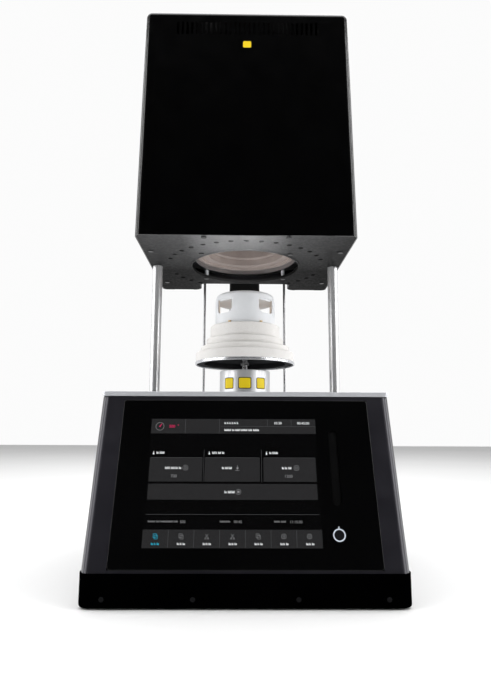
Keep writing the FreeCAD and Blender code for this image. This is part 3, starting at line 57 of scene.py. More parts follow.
class Shader:
    """Short calls for one material's node tree, measured in object space (metres)."""

    def __init__(self, name):
        self.material = bpy.data.materials.new(name)
        self.material.use_nodes = True
        self.tree = self.material.node_tree
        self.surface = self.tree.nodes["Principled BSDF"]
        self.space = self.tree.nodes.new("ShaderNodeTexCoord").outputs["Object"]

    def link(self, source, target):
        self.tree.links.new(source, target)

    def stretch(self, scale):
        """Object space stretched by (x, y, z)."""
        item = self.tree.nodes.new("ShaderNodeMapping")
        item.inputs["Scale"].default_value = scale
        self.link(self.space, item.inputs["Vector"])
        return item.outputs["Vector"]

    def noise(self, scale, detail=4.0, roughness=0.55, space=None):
        """Cloudy value from 0 to 1."""
        item = self.tree.nodes.new("ShaderNodeTexNoise")
        item.inputs["Scale"].default_value = scale
        item.inputs["Detail"].default_value = detail
        item.inputs["Roughness"].default_value = roughness
        self.link(space or self.space, item.inputs["Vector"])
        return item.outputs["Fac"]

    def cells(self, scale):
        """Distance from scattered points."""
        item = self.tree.nodes.new("ShaderNodeTexVoronoi")
        item.inputs["Scale"].default_value = scale
        self.link(self.space, item.inputs["Vector"])
        return item.outputs["Distance"]

    def ramp(self, value, stops):
        """Colours or grey levels placed along a value."""
        item = self.tree.nodes.new("ShaderNodeValToRGB")
        points = item.color_ramp.elements
        while len(points) < len(stops):
            points.new(0.5)
        for point, (place, colour) in zip(points, stops):
            point.position = place
            point.color = (*colour, 1)
        self.link(value, item.inputs["Fac"])
        return item.outputs["Color"]

    def spread(self, value, low, high, source=(0.3, 0.7)):
        """Value moved from the source range to low and high."""
        item = self.tree.nodes.new("ShaderNodeMapRange")
        item.inputs["From Min"].default_value = source[0]
        item.inputs["From Max"].default_value = source[1]
        item.inputs["To Min"].default_value = low
        item.inputs["To Max"].default_value = high
        self.link(value, item.inputs["Value"])
        return item.outputs["Result"]

    def maths(self, operation, first, second):
        """Result of an operation on two values, each a number or a socket."""
        item = self.tree.nodes.new("ShaderNodeMath")
        item.operation = operation
        for slot, value in zip(item.inputs, (first, second)):
            if isinstance(value, (int, float)):
                slot.default_value = value
            else:
                self.link(value, slot)
        return item.outputs["Value"]

    def radius(self):
        """Distance from the Z axis."""
        item = self.tree.nodes.new("ShaderNodeSeparateXYZ")
        self.link(self.space, item.inputs["Vector"])
        square = self.maths("ADD", self.maths("POWER", item.outputs["X"], 2),
                            self.maths("POWER", item.outputs["Y"], 2))
        return self.maths("SQRT", square, 0)

    def blend(self, factor, first, second, mode="MIX"):
        """Two colours mixed by a factor."""
        item = self.tree.nodes.new("ShaderNodeMixRGB")
        item.blend_type = mode
        for name, value in (("Fac", factor), ("Color1", first), ("Color2", second)):
            slot = item.inputs[name]
            if isinstance(value, (int, float)):
                slot.default_value = value
            elif isinstance(value, tuple):
                slot.default_value = (*value, 1)
            else:
                self.link(value, slot)
        return item.outputs["Color"]

    def set(self, **values):
        """Principled inputs by name, with underscores for spaces."""
        for key, value in values.items():
            slot = self.surface.inputs[key.replace("_", " ")]
            if isinstance(value, (int, float)):
                slot.default_value = value
            elif isinstance(value, tuple):
                slot.default_value = value if len(value) == len(slot.default_value) else (*value, 1)
            else:
                self.link(value, slot)

    def bump(self, value, strength, depth):
        """Relief of the given depth in metres; calls add up."""
        item = self.tree.nodes.new("ShaderNodeBump")
        item.inputs["Strength"].default_value = strength
        item.inputs["Distance"].default_value = depth
        self.link(value, item.inputs["Height"])
        normal = self.surface.inputs["Normal"]
        if normal.links:
            self.link(normal.links[0].from_socket, item.inputs["Normal"])
        self.link(item.outputs["Normal"], normal)


def lacquer(name, colour, roughness, grain, relief, gloss=0.5, metallic=0.0, coat=0.0):
    """Painted sheet: fine orange peel, uneven gloss and a little cloudiness."""
    s = Shader(name)
    cloud = s.noise(9, 5)
    fine = s.noise(grain, 2)
    lighter = tuple(min(1, c * 1.25 + 0.0004) for c in colour)
    s.set(Base_Color=s.ramp(cloud, [(0.35, colour), (0.75, lighter)]), Metallic=metallic,
          Roughness=s.spread(s.noise(35, 6), roughness * 0.86, roughness * 1.18), Specular_IOR_Level=gloss,
          Coat_Weight=coat, Coat_Roughness=0.06)
    s.bump(fine, relief, PAINT_DEPTH)
    return s


def metal(name, colour, roughness, stretch=(60, 60, 60), relief=0.12, spots=0.05, metallic=1.0):
    """Bare metal with directional wear and cloudy tone."""
    s = Shader(name)
    lines = s.noise(1, 8, 0.6, s.stretch(stretch))
    cloud = s.noise(26, 4)
    darker = tuple(c * (1 - spots * 2) for c in colour)
    s.set(Base_Color=s.ramp(cloud, [(0.3, darker), (0.7, colour)]), Metallic=metallic,
          Roughness=s.spread(lines, roughness * 0.7, roughness * 1.35))
    s.bump(lines, relief, WEAR_DEPTH)
    return s


def lathe_metal(name, colour, roughness, pitch=2400, relief=0.2):
    """Turned metal with rings about the lift axis."""
    s = Shader(name)
    rings = s.noise(pitch, 3, 0.5, s.radius())
    cloud = s.noise(22, 4)
    s.set(Base_Color=s.ramp(cloud, [(0.3, tuple(c * 0.86 for c in colour)), (0.7, colour)]), Metallic=1.0,
          Roughness=s.spread(rings, roughness * 0.7, roughness * 1.4))
    s.bump(rings, relief, TURNED_DEPTH)
    return s


def plastic(name, colour, roughness, grain=1400, relief=0.15):
    """Moulded plastic or rubber with fine spark-eroded grain."""
    s = Shader(name)
    grain_cells = s.cells(grain)
    cloud = s.noise(14, 4)
    lighter = tuple(min(1, c * 1.3 + 0.004) for c in colour)
    s.set(Base_Color=s.ramp(cloud, [(0.35, colour), (0.7, lighter)]),
          Roughness=s.spread(s.noise(60, 3), roughness * 0.85, min(1, roughness * 1.15)))
    s.bump(grain_cells, relief, GRAIN_DEPTH)
    return s


def fibre(name, colour, dark, roughness=0.92, grain=520, relief=0.8, depth=0.0006):
    """Pressed ceramic fibre: coarse grains, pits and dark specks."""
    s = Shader(name)
    lumps = s.noise(grain, 6, 0.7)
    pits = s.cells(grain * 1.7)
    patches = s.noise(30, 5)
    base = s.ramp(patches, [(0.3, dark), (0.62, colour)])
    specks = s.ramp(pits, [(0.0, (0.5, 0.48, 0.45)), (0.3, (1, 1, 1))])
    s.set(Base_Color=s.blend(0.6, base, specks, "MULTIPLY"), Roughness=roughness, Specular_IOR_Level=0.25)
    s.bump(lumps, relief, depth)
    s.bump(pits, relief * 0.6, depth * 0.6)
    return s


def glow(name, colour, strength, body=(0.01, 0.01, 0.01)):
    """Lit print or light guide under a glossy surface."""
    s = Shader(name)
    level = s.spread(s.noise(240, 3), 0.9, 1.08)
    s.set(Base_Color=s.blend(level, body, colour), Emission_Color=(*colour, 1),
          Emission_Strength=s.maths("MULTIPLY", level, strength), Roughness=0.16, Coat_Weight=0.6)
    return s


DISC_PAINTED_DARK_RADIUS = 0.0764
DISC_EDGE_BLEND = 0.0002


def disc_material():
    """Mirror-turned rim, with a black face inside it that is a painted dark reflection."""
    s = lathe_metal("disc_mirror_steel", (0.82, 0.83, 0.86), 0.26)
    rim = s.spread(s.radius(), 0, 1,
                   (DISC_PAINTED_DARK_RADIUS - DISC_EDGE_BLEND, DISC_PAINTED_DARK_RADIUS + DISC_EDGE_BLEND))
    bright = s.surface.inputs["Base Color"].links[0].from_socket
    # painted dark reflection: inside the rim the face is near black, matte and barely reflective
    black = s.ramp(s.noise(50, 5), [(0.3, (0.006, 0.006, 0.007)), (0.7, (0.016, 0.016, 0.018))])
    s.set(Base_Color=s.blend(rim, black, bright), Metallic=s.spread(rim, 0.0, 0.85, (0, 1)),
          Roughness=s.spread(rim, 0.7, 0.26, (0, 1)), Specular_IOR_Level=s.spread(rim, 0.1, 0.5, (0, 1)))
    return s


HEAD_FLOOR_DEPTH = (-0.145, 0.02)
HEAD_FLOOR_WIDTH = (-0.15, 0.15)
# painted highlight on the head floor: brightness from its left edge (0) to its right edge (1)
PAINTED_HIGHLIGHT_ACROSS = ((0.0, 0.14), (0.2, 0.24), (0.4, 0.9), (0.52, 1.0), (0.72, 0.24), (1.0, 0.08))


def floor_material():
    """Satin floor sheet of the head, with a painted highlight pale in the middle and painted shade darker
    towards the rear.
    """
    s = metal("floor_satin_steel", (0.6, 0.6, 0.606), 0.5, (260, 260, 260), 0.012)
    tone = s.surface.inputs["Base Color"].links[0].from_socket
    place = s.tree.nodes.new("ShaderNodeSeparateXYZ")
    s.link(s.space, place.inputs["Vector"])
    rearward = s.spread(place.outputs["Y"], 0, 1, HEAD_FLOOR_DEPTH)
    # painted shade: colour, reflection tint, metallic and reflectivity all fall off towards the rear
    shade = s.ramp(rearward, [(0.0, (1, 1, 1)), (1.0, (0.1, 0.1, 0.1))])
    edge = s.ramp(rearward, [(0.0, (0.5, 0.5, 0.5)), (1.0, (0.05, 0.05, 0.05))])
    across = s.spread(place.outputs["X"], 0, 1, HEAD_FLOOR_WIDTH)
    # painted highlight: a bright band across the middle of the floor
    painted_highlight = s.ramp(across, [(stop, (level,) * 3) for stop, level in PAINTED_HIGHLIGHT_ACROSS])
    lit = s.blend(1.0, shade, painted_highlight, "MULTIPLY")
    s.set(Base_Color=s.blend(1.0, tone, lit, "MULTIPLY"), Specular_Tint=edge,
          Metallic=s.spread(rearward, 0.85, 0.1, (0, 1)),
          Specular_IOR_Level=s.spread(rearward, 0.2, 0.02, (0, 1)))
    return s


CUP_PAINTED_GLOW = 0.2
CUP_FIRED_RADIUS = 0.0468
CUP_FIRED_BLEND = 0.0019


def cup_ceramic(name, wall=None):
    """Smooth white ceramic; inside the given wall radius it is tinted by firing and glows faintly as painted
    light.
    """
    s = Shader(name)
    cloud = s.noise(45, 5)
    white = s.ramp(cloud, [(0.3, (0.73, 0.745, 0.765)), (0.7, (0.79, 0.805, 0.825))])
    if wall:
        inside = s.spread(s.radius(), 0, 1, (wall - CUP_FIRED_BLEND, wall))
        fired = s.ramp(cloud, [(0.3, (0.62, 0.54, 0.47)), (0.7, (0.74, 0.67, 0.6))])
        # painted light: the tinted inside is given a faint glow
        s.set(Base_Color=s.blend(inside, fired, white), Emission_Color=fired,
              Emission_Strength=s.spread(inside, CUP_PAINTED_GLOW, 0.0, (0, 1)))
    else:
        s.set(Base_Color=white)
    s.set(Roughness=s.spread(s.noise(90, 4), 0.42, 0.62), Specular_IOR_Level=0.4, Subsurface_Weight=0.1,
          Subsurface_Radius=(0.003, 0.003, 0.003), Subsurface_Scale=0.5)
    s.bump(s.noise(1300, 3), 0.12, PAINT_DEPTH)
    return s


def board_material():
    """Solder mask with faint tracks."""
    s = Shader("board_mask")
    tracks = s.tree.nodes.new("ShaderNodeTexBrick")
    tracks.inputs["Scale"].default_value = 60
    s.link(s.space, tracks.inputs["Vector"])
    tracks.inputs["Color1"].default_value = (0.01, 0.11, 0.045, 1)
    tracks.inputs["Color2"].default_value = (0.012, 0.14, 0.06, 1)
    tracks.inputs["Mortar"].default_value = (0.03, 0.2, 0.1, 1)
    s.set(Base_Color=tracks.outputs["Color"], Roughness=0.4)
    s.bump(s.cells(900), 0.2, GRAIN_DEPTH)
    return s


def dress(materials):
    """Give CAD nodes their materials."""
    for shader, names in materials:
        for name in names:
            data = nodes[name].data
            data.materials.clear()
            data.materials.append(shader.material)


head_black = lacquer("head_black_lacquer", (0.0003, 0.0003, 0.0004), 0.2, 1500, 0.05, 0.3, coat=0.2)
anthracite = lacquer("anthracite_metallic", (0.022, 0.021, 0.027), 0.33, 2600, 0.16, 0.5,
                     metallic=0.55, coat=0.3)
tray_black = lacquer("tray_black_enamel", (0.0002, 0.0002, 0.0003), 0.34, 1800, 0.1, 0.0)
rear_powder = lacquer("rear_powder_coat", (0.014, 0.014, 0.016), 0.5, 900, 0.5, 0.45)
duct_black = lacquer("duct_black_paint", (0.004, 0.004, 0.004), 0.36, 1500, 0.15, 0.4)
glass_black = lacquer("panel_black_glass", (0.0009, 0.0009, 0.001), 0.07, 200, 0.0, 0.45, coat=0.3)
lens_smoked = lacquer("lens_smoked", (0.0008, 0.0008, 0.0009), 0.3, 1200, 0.05, 0.25)
key_gloss = lacquer("key_gloss_black", (0.008, 0.008, 0.009), 0.12, 1500, 0.03, 0.5, coat=0.4)
plate_silver = metal("plate_bead_blasted", (0.6, 0.61, 0.64), 0.42, (900, 900, 900), 0.3, metallic=0.4)
chrome = metal("column_chrome", (0.66, 0.66, 0.67), 0.24, (500, 500, 5), 0.006, metallic=0.56)
tube_chrome = metal("tube_satin_chrome", (0.78, 0.785, 0.8), 0.45, (700, 700, 20), 0.1, metallic=0.7)
floor_satin = floor_material()
steel = metal("steel_ground", (0.5, 0.5, 0.51), 0.3, (300, 300, 300))
stay_steel = metal("stay_dark_chrome", (0.4, 0.4, 0.41), 0.22, (500, 500, 5), 0.006)
alloy = metal("alloy_machined", (0.55, 0.56, 0.57), 0.38, (500, 40, 40), 0.2)
zinc = metal("zinc_sheet", (0.5, 0.51, 0.52), 0.45, (30, 30, 30), 0.1, 0.12)
bronze = metal("bronze_bearing", (0.55, 0.37, 0.16), 0.35, (200, 200, 200))
screw_steel = metal("screw_steel", (0.07, 0.07, 0.072), 0.4, (600, 600, 600), 0.2)
screw_black = metal("screw_blackened", (0.012, 0.012, 0.013), 0.5, (600, 600, 600), 0.2)
disc_mirror = disc_material()
ring_turned = lathe_metal("ring_turned_steel", (0.42, 0.42, 0.43), 0.36)
insulation = fibre("insulation_white", (0.8, 0.785, 0.765), (0.76, 0.742, 0.72), grain=480,
                   relief=0.9, depth=0.0006)
throat_fibre = fibre("throat_pale_fibre", (0.52, 0.45, 0.42), (0.44, 0.37, 0.34), grain=700, depth=0.0004)
chamber_fibre = fibre("chamber_fired_fibre", (0.46, 0.34, 0.29), (0.36, 0.26, 0.22), grain=420, depth=0.0007)
peg_ceramic = plastic("peg_ceramic", (0.66, 0.48, 0.25), 0.6, 1800, 0.2)
element_grey = plastic("element_silicide", (0.09, 0.085, 0.09), 0.55, 1600, 0.4)
rubber = plastic("rubber_matte", (0.012, 0.012, 0.012), 0.8, 1500, 0.3)
moulding = plastic("moulding_black", (0.012, 0.012, 0.013), 0.45, 1600, 0.25)
light_white = glow("light_guide_white", (0.46, 0.5, 0.56), 0.4, (0.4, 0.42, 0.45))
board_green = board_material()

dress([
    (head_black, ["head_cover"]),
    (anthracite, ["base_housing"]),
    (tray_black, ["base_tray"]),
    (rear_powder, ["base_rear_panel", "head_rear_cover", "cable_recess"]),
    (duct_black, ["cable_duct", "lift_motor"]),
    (glass_black, ["panel_glass", "display_module"]),
    (lens_smoked, ["status_lens"]),
    (key_gloss, ["standby_key", "mains_rocker"]),
    (plate_silver, ["top_plate"]),
    (chrome, ["column_left", "column_right"]),
    (stay_steel, ["stay_rods"]),
    (tube_chrome, ["lift_tube"]),
    (floor_satin, ["head_floor"]),
    (steel, ["table_post", "guide_rods", "lead_screw", "lift_plate_posts"]),
    (alloy, ["heater_relay", "lift_base_plate", "lift_carriage", "screw_bearings", "screw_pulley",
             "motor_pulley", "element_terminals"]),
    (zinc, ["power_supply", "muffle_can"]),
    (bronze, ["lift_nut", "guide_bushes"]),
    (screw_steel, ["head_screws", "column_nuts"]),
    (screw_black, ["base_screws"]),
    (disc_mirror, ["table_disc"]),
    (ring_turned, ["muffle_base_ring"]),
    (insulation, ["table_insulation_lower", "table_insulation_upper"]),
    (throat_fibre, ["muffle_throat"]),
    (chamber_fibre, ["muffle_wall", "muffle_roof"]),
    (cup_ceramic("cup_ceramic", CUP_FIRED_RADIUS), ["firing_tray"]),
    (cup_ceramic("lid_ceramic"), ["tray_lid", "muffle_standoffs"]),
    (peg_ceramic, ["tray_pegs", "thermocouple"]),
    (element_grey, ["heating_elements"]),
    (rubber, ["rubber_feet", "drive_belt", "plate_seal"]),
    (moulding, ["panel_carrier", "mains_inlet", "fan_frame", "fan_rotor", "tube_gland"]),
    (light_white, ["standby_light_ring"]),
    (board_green, ["controller_board"]),
])


# ---- mesh pieces ----

def new_piece(name, mesh, shader, body):
    """Object for a finished bmesh, riding on a CAD body."""
    data = bpy.data.meshes.new(name)
    bmesh.ops.recalc_face_normals(mesh, faces=mesh.faces)
    mesh.to_mesh(data)
    mesh.free()
    data.materials.append(shader.material)
    item = bpy.data.objects.new(name, data)
    bpy.context.scene.collection.objects.link(item)
    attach(item, body)
    return item


def add_slab(mesh, outline, low, high, place):
    """Prism on a flat outline: place(x, y, height) gives the point in metres."""
    bottom = [mesh.verts.new(place(x, y, low)) for x, y in outline]
    top = [mesh.verts.new(place(x, y, high)) for x, y in outline]
    count = len(outline)
    mesh.faces.new(top)
    mesh.faces.new(reversed(bottom))
    for n in range(count):
        after = (n + 1) % count
        mesh.faces.new((bottom[n], bottom[after], top[after], top[n]))


def add_band(mesh, outer, inner, low, high, place):
    """Closed band between two outlines of the same length."""
    count = len(outer)
    rings = [[mesh.verts.new(place(x, y, h)) for x, y in line]
             for line, h in ((outer, low), (outer, high), (inner, high), (inner, low))]
    for first in range(4):
        second = (first + 1) % 4
        for n in range(count):
            after = (n + 1) % count
            mesh.faces.new((rings[first][n], rings[first][after], rings[second][after], rings[second][n]))


def round_box(left, right, low, high, radius, steps=4):
    """Rectangle outline with rounded corners."""
    points = []
    middles = ((right - radius, high - radius, 0), (left + radius, high - radius, 90),
               (left + radius, low + radius, 180), (right - radius, low + radius, 270))
    for x, y, start in middles:
        for n in range(steps + 1):
            angle = math.radians(start + 90 * n / steps)
            points.append((x + radius * math.cos(angle), y + radius * math.sin(angle)))
    return points


def ring_points(x, y, radius, count=32):
    """Circle outline."""
    angles = [math.radians(360 * n / count) for n in range(count)]
    return [(x + radius * math.cos(angle), y + radius * math.sin(angle)) for angle in angles]


def stroke(start, end, width):
    """Straight line as a thin quad."""
    (x1, y1), (x2, y2) = start, end
    length = math.hypot(x2 - x1, y2 - y1)
    across_x, across_y = (y1 - y2) / length * width / 2, (x2 - x1) / length * width / 2
    return [(x1 + across_x, y1 + across_y), (x1 - across_x, y1 - across_y),
            (x2 - across_x, y2 - across_y), (x2 + across_x, y2 + across_y)]


# ---- touch panel screen ----

PANEL_RUN, PANEL_RISE = 70.5, 205.2
PANEL_TILT = math.atan2(PANEL_RUN, PANEL_RISE)
up_slope = Vector((0, math.sin(PANEL_TILT), math.cos(PANEL_TILT)))
outward = Vector((0, -math.cos(PANEL_TILT), math.sin(PANEL_TILT)))
display_low, display_high = corners("display_module")
SCREEN_WIDTH, SCREEN_HEIGHT = 211.2, 158.4
GLASS_PROUD = 0.3
DISPLAY_BACK = 11.7
DISPLAY_HALF_DEPTH = 4
display_middle = (display_low + display_high) / 2
# middle of the screen on the front face of the glass
screen_middle = display_middle + outward * (DISPLAY_BACK - DISPLAY_HALF_DEPTH + GLASS_PROUD) * MM


def on_screen(x, y, height):
    """Point at (x, y) mm from the screen's top left corner, height above the glass."""
    across = Vector((1, 0, 0)) * (x - SCREEN_WIDTH / 2) * MM
    along = up_slope * (SCREEN_HEIGHT / 2 - y) * MM
    return screen_middle + across + along + outward * height * MM


TICK_PITCH = 0.95
TICK_WIDTH = 0.6
TICK_TOPS = (0.5, 0.15, 0.2, 0.5, 0.15)


class Layer:
    """One printed layer of the screen: slabs and bands between two heights."""

    def __init__(self, name, shader, low, high):
        self.name, self.shader, self.low, self.high = name, shader, low, high
        self.mesh = bmesh.new()

    def slab(self, outline):
        add_slab(self.mesh, outline, self.low, self.high, on_screen)

    def box(self, left, right, top, bottom, radius=0.4):
        self.slab(round_box(left, right, top, bottom, radius, 2))

    def ring(self, x, y, radius, width):
        add_band(self.mesh, ring_points(x, y, radius), ring_points(x, y, radius - width), self.low, self.high,
                 on_screen)

    def line(self, start, end, width=0.35):
        self.slab(stroke(start, end, width))

    def bars(self, x, y, widths, height=3.0):
        """Row of fine upright ticks that stands for words of the given widths."""
        for width in widths:
            for n in range(max(2, round(width / TICK_PITCH))):
                left = x + n * TICK_PITCH
                top = y - height * TICK_TOPS[n % len(TICK_TOPS)]
                self.slab([(left, top), (left + TICK_WIDTH, top), (left + TICK_WIDTH, y + height / 2),
                           (left, y + height / 2)])
            x += width + TICK_PITCH

    def number(self, text, x, y, size):
        """Numerals drawn in a plain typeface, lower left corner at (x, y)."""
        curve = bpy.data.curves.new(f"{self.name}_number", "FONT")
        curve.body = text
        curve.size = size
        curve.resolution_u = 3
        holder = bpy.data.objects.new(f"{self.name}_number", curve)
        bpy.context.scene.collection.objects.link(holder)
        flat = bpy.data.meshes.new_from_object(holder)
        bpy.data.objects.remove(holder)
        bpy.data.curves.remove(curve)
        flat.transform(Matrix.Translation((x, -y, 0)))
        scratch = bmesh.new()
        scratch.from_mesh(flat)
        verts = [self.mesh.verts.new(on_screen(v.co.x, -v.co.y, self.high)) for v in scratch.verts]
        for face in scratch.faces:
            self.mesh.faces.new([verts[v.index] for v in face.verts])
        scratch.free()
        bpy.data.meshes.remove(flat)

    def finish(self):
        return new_piece(self.name, self.mesh, self.shader, "frame")


screen_dark = glow("screen_dark", (0.0009, 0.0009, 0.001), 0.5)
screen_panel = glow("screen_panel_grey", (0.0135, 0.0135, 0.014), 0.8)
screen_line = glow("screen_line_grey", (0.042, 0.042, 0.044), 0.8)
screen_white = glow("screen_white", (0.55, 0.56, 0.57), 0.9)
screen_dim = glow("screen_dim_text", (0.13, 0.13, 0.134), 0.8)
screen_pink = glow("screen_pink", (0.36, 0.012, 0.065), 0.9)
screen_cyan = glow("screen_cyan", (0.012, 0.24, 0.34), 0.9)

# heights above the glass in mm
BACK_FOOT, BACK_TOP, PANEL_TOP, LINE_TOP, SYMBOL_TOP = 0.02, 0.08, 0.15, 0.19, 0.22
back = Layer("screen_back", screen_dark, BACK_FOOT, BACK_TOP)
panels = Layer("screen_panels", screen_panel, BACK_TOP, PANEL_TOP)
lines = Layer("screen_lines", screen_line, PANEL_TOP, LINE_TOP)
white = Layer("screen_symbols", screen_white, PANEL_TOP, SYMBOL_TOP)
dim = Layer("screen_dim_symbols", screen_dim, PANEL_TOP, SYMBOL_TOP)
pink = Layer("screen_alert", screen_pink, PANEL_TOP, SYMBOL_TOP)
cyan = Layer("screen_active", screen_cyan, PANEL_TOP, SYMBOL_TOP)

back.box(0, SCREEN_WIDTH, 0, SCREEN_HEIGHT, 1.0)
# heading bar
panels.box(0, SCREEN_WIDTH, 0, 19.6)
for x in (43.6, 87.3):
    lines.line((x, 0.5), (x, 19.4))
for x in (149.3, 179.9):
    lines.line((x, 0.5), (x, 9.6))
lines.line((87.3, 9.8), (SCREEN_WIDTH, 9.8))
dim.ring(11, 10.2, 5.4, 0.45)
pink.line((11, 10.2), (13.4, 6.6), 0.8)
pink.ring(11, 10.2, 0.9, 0.5)
pink.number("500", 22.8, 11.8, 5.2)
pink.ring(34.4, 8.4, 0.7, 0.35)
white.bars(94, 5.3, (2.2, 2.2, 2.2, 2.2, 2.2, 2.2), 2.8)
white.number("10:30", 157.5, 6.9, 4.6)
white.number("00:45:00", 187.5, 6.9, 4.6)
white.bars(94, 14.7, (9, 3, 6, 9, 5, 8), 2.8)
# step names
for x, widths in ((9.2, (3, 1.2, 4)), (79, (3.4, 2.2, 4, 3)), (151, (3, 1.2, 4.6))):
    white.bars(x, 44.7, widths)
    white.line((x - 3.6, 46.3), (x - 3.6, 43.1), 0.6)
    white.ring(x - 3.6, 46.2, 1.0, 0.5)
for x in (68.8, 140.9):
    lines.line((x, 41), (x, 81.5))
# buttons
for left, right in ((1.7, 67.3), (70.2, 138.8), (143.2, 208.6)):
    panels.box(left, right, 50.8, 81.0, 1.0)
    lines.line((left + 0.6, 51), (right - 0.6, 51), 0.3)
white.bars(21.2, 64, (3.4, 2.2, 4.6, 3.2, 2.4))
white.bars(91.8, 64, (3, 3.6, 3.4))
white.bars(166.4, 64, (2.8, 3.2, 3.6))
for x in (46.3, 184.3):
    dim.ring(x, 63.8, 3.4, 0.4)
    dim.ring(x, 63.8, 1.5, 0.4)
dim.line((110.9, 60.6), (110.9, 66.4), 0.5)
dim.line((108.2, 67.2), (113.6, 67.2), 0.5)
dim.slab([(109, 63.6), (112.8, 63.6), (110.9, 66.2)])
dim.number("700", 28.6, 76.0, 5.2)
dim.number("1200", 168.8, 76.0, 5.2)
panels.box(1.9, 208.6, 83.8, 102.9, 1.0)
white.bars(95.4, 93.6, (3.2, 3.4, 3.4))
dim.ring(112.2, 93.5, 3.3, 0.4)
dim.box(110.8, 113.6, 92.1, 94.9, 0.2)
# status row
lines.line((2, 120.2), (209, 120.2))
dim.bars(5.3, 128.3, (9, 4, 15, 5), 2.2)
dim.number("500", 43, 130.2, 4.4)
dim.bars(90.6, 128.3, (12,), 2.2)
dim.number("00:45", 107, 130.2, 4.4)
dim.bars(155.3, 128.3, (7, 6), 2.2)
dim.number("11:15:00", 173.5, 130.2, 4.4)
# foot bar with seven cells
CELL = SCREEN_WIDTH / 7
panels.box(0, SCREEN_WIDTH, 137.7, SCREEN_HEIGHT)
for n in range(1, 7):
    lines.line((CELL * n, 138.2), (CELL * n, 158))
for n in range(7):
    layer = cyan if n == 0 else dim
    words = cyan if n == 0 else white
    x, y = CELL * (n + 0.5), 145.2
    words.bars(x - 4.2, 153.6, (2.6, 2.2, 2.6), 2.6)
    if n in (0, 1, 4):
        for left, right, top, bottom in ((-2.4, 1.2, -2.8, 1.4), (-1.0, 2.6, -1.2, 3.0)):
            layer.line((x + left, y + top), (x + right, y + top))
            layer.line((x + left, y + bottom), (x + right, y + bottom))
            layer.line((x + left, y + top), (x + left, y + bottom))
            layer.line((x + right, y + top), (x + right, y + bottom))
    elif n in (2, 3):
        layer.line((x - 1.8, y - 2.6), (x + 1.2, y + 1.4))
        layer.line((x + 1.8, y - 2.6), (x - 1.2, y + 1.4))
        layer.ring(x - 1.6, y + 2.4, 1.0, 0.4)
        layer.ring(x + 1.6, y + 2.4, 1.0, 0.4)
    else:
        layer.ring(x, y, 2.9, 0.45)
        layer.ring(x, y, 1.1, 0.45)
for layer in (back, panels, lines, white, dim, pink, cyan):
    layer.finish()


# ---- blank yellow patches on the lift tube and the head ----

# share of a patch's height that keeps the first and last row off the outline's ends
ROW_INSET = 0.0005


def fill_rows(outline, rows=22, columns=10):
    """Grid of points inside a convex outline, row by row."""
    low = min(y for _, y in outline)
    high = max(y for _, y in outline)
    grid = []
    count = len(outline)
    for r in range(rows + 1):
        y = low + (high - low) * (ROW_INSET + (1 - 2 * ROW_INSET) * r / rows)
        cuts = []
        for n in range(count):
            (x1, y1), (x2, y2) = outline[n], outline[(n + 1) % count]
            if (y1 - y) * (y2 - y) <= 0 and y1 != y2:
                cuts.append(x1 + (x2 - x1) * (y - y1) / (y2 - y1))
        left, right = min(cuts), max(cuts)
        grid.append([(left + (right - left) * c / columns, y) for c in range(columns + 1)])
    return grid


def add_sheet(mesh, grid, height, place):
    """Thin printed sheet over a grid of points."""
    rows = [[mesh.verts.new(place(x, y, height)) for x, y in line] for line in grid]
    for r in range(len(rows) - 1):
        for c in range(len(rows[0]) - 1):
            mesh.faces.new((rows[r][c], rows[r][c + 1], rows[r + 1][c + 1], rows[r + 1][c]))


YELLOW = (0.87, 0.62, 0.012)
patch_yellow = lacquer("patch_yellow", YELLOW, 0.5, 900, 0.1, 0.3)
# painted light: the yellow field glows faintly
patch_yellow.set(Emission_Color=YELLOW, Emission_Strength=0.16)
patch_black = lacquer("patch_black", (0.002, 0.002, 0.002), 0.5, 900, 0.1, 0.2)

PATCH_CORNER = 2.2
PATCH_EDGE_HEIGHT = 0.06
PATCH_FIELD_HEIGHT = 0.1


def plain_patch(name, width, height, border, place, body):
    """Blank yellow patch with a dark edge, pasted on by place(x, y, height)."""
    edge = round_box(-width / 2, width / 2, 0, height, PATCH_CORNER)
    field = round_box(border - width / 2, width / 2 - border, border, height - border,
                      PATCH_CORNER - border / 2)
    dark = bmesh.new()
    add_sheet(dark, fill_rows(edge), PATCH_EDGE_HEIGHT, place)
    yellow = bmesh.new()
    add_sheet(yellow, fill_rows(field), PATCH_FIELD_HEIGHT, place)
    new_piece(f"{name}_edge", dark, patch_black, body)
    new_piece(f"{name}_field", yellow, patch_yellow, body)


tube_high = corners("lift_tube")[1]
TUBE_RADIUS = tube_high.x / MM


def on_tube(middle, base):
    """Placing on the front of the lift tube, middle mm to the right of the centre line."""
    def place(x, y, height):
        start = math.asin(middle / TUBE_RADIUS)
        angle = start + x / TUBE_RADIUS
        reach = (TUBE_RADIUS + height) * MM
        return Vector((reach * math.sin(angle), -reach * math.cos(angle), base + y * MM))
    return place


TUBE_PATCH_DROP = 29.3
TUBE_PATCH_HEIGHT = 17.5
TUBE_PATCH_EDGE = 1.2
patch_base = tube_high.z - TUBE_PATCH_DROP * MM
for n, (middle, width) in enumerate(((-24.6, 17), (-0.4, 20), (24.4, 17))):
    plain_patch(f"tube_patch_{n}", width, TUBE_PATCH_HEIGHT, TUBE_PATCH_EDGE, on_tube(middle, patch_base),
                "lift")

head_low, head_high = corners("head_cover")
HEAD_SET_BACK = 8.6 * MM
HEAD_PATCH_DROP = 61.1 * MM
HEAD_PATCH_WIDTH, HEAD_PATCH_HEIGHT, HEAD_PATCH_EDGE = 13.5, 12, 0.8


def on_head(x, y, height):
    """Point on the leaning front of the head."""
    z = head_high.z - HEAD_PATCH_DROP + y * MM
    share = (z - head_low.z) / (head_high.z - head_low.z)
    front = head_low.y + HEAD_SET_BACK * share
    return Vector((x * MM, front - height * MM, z))


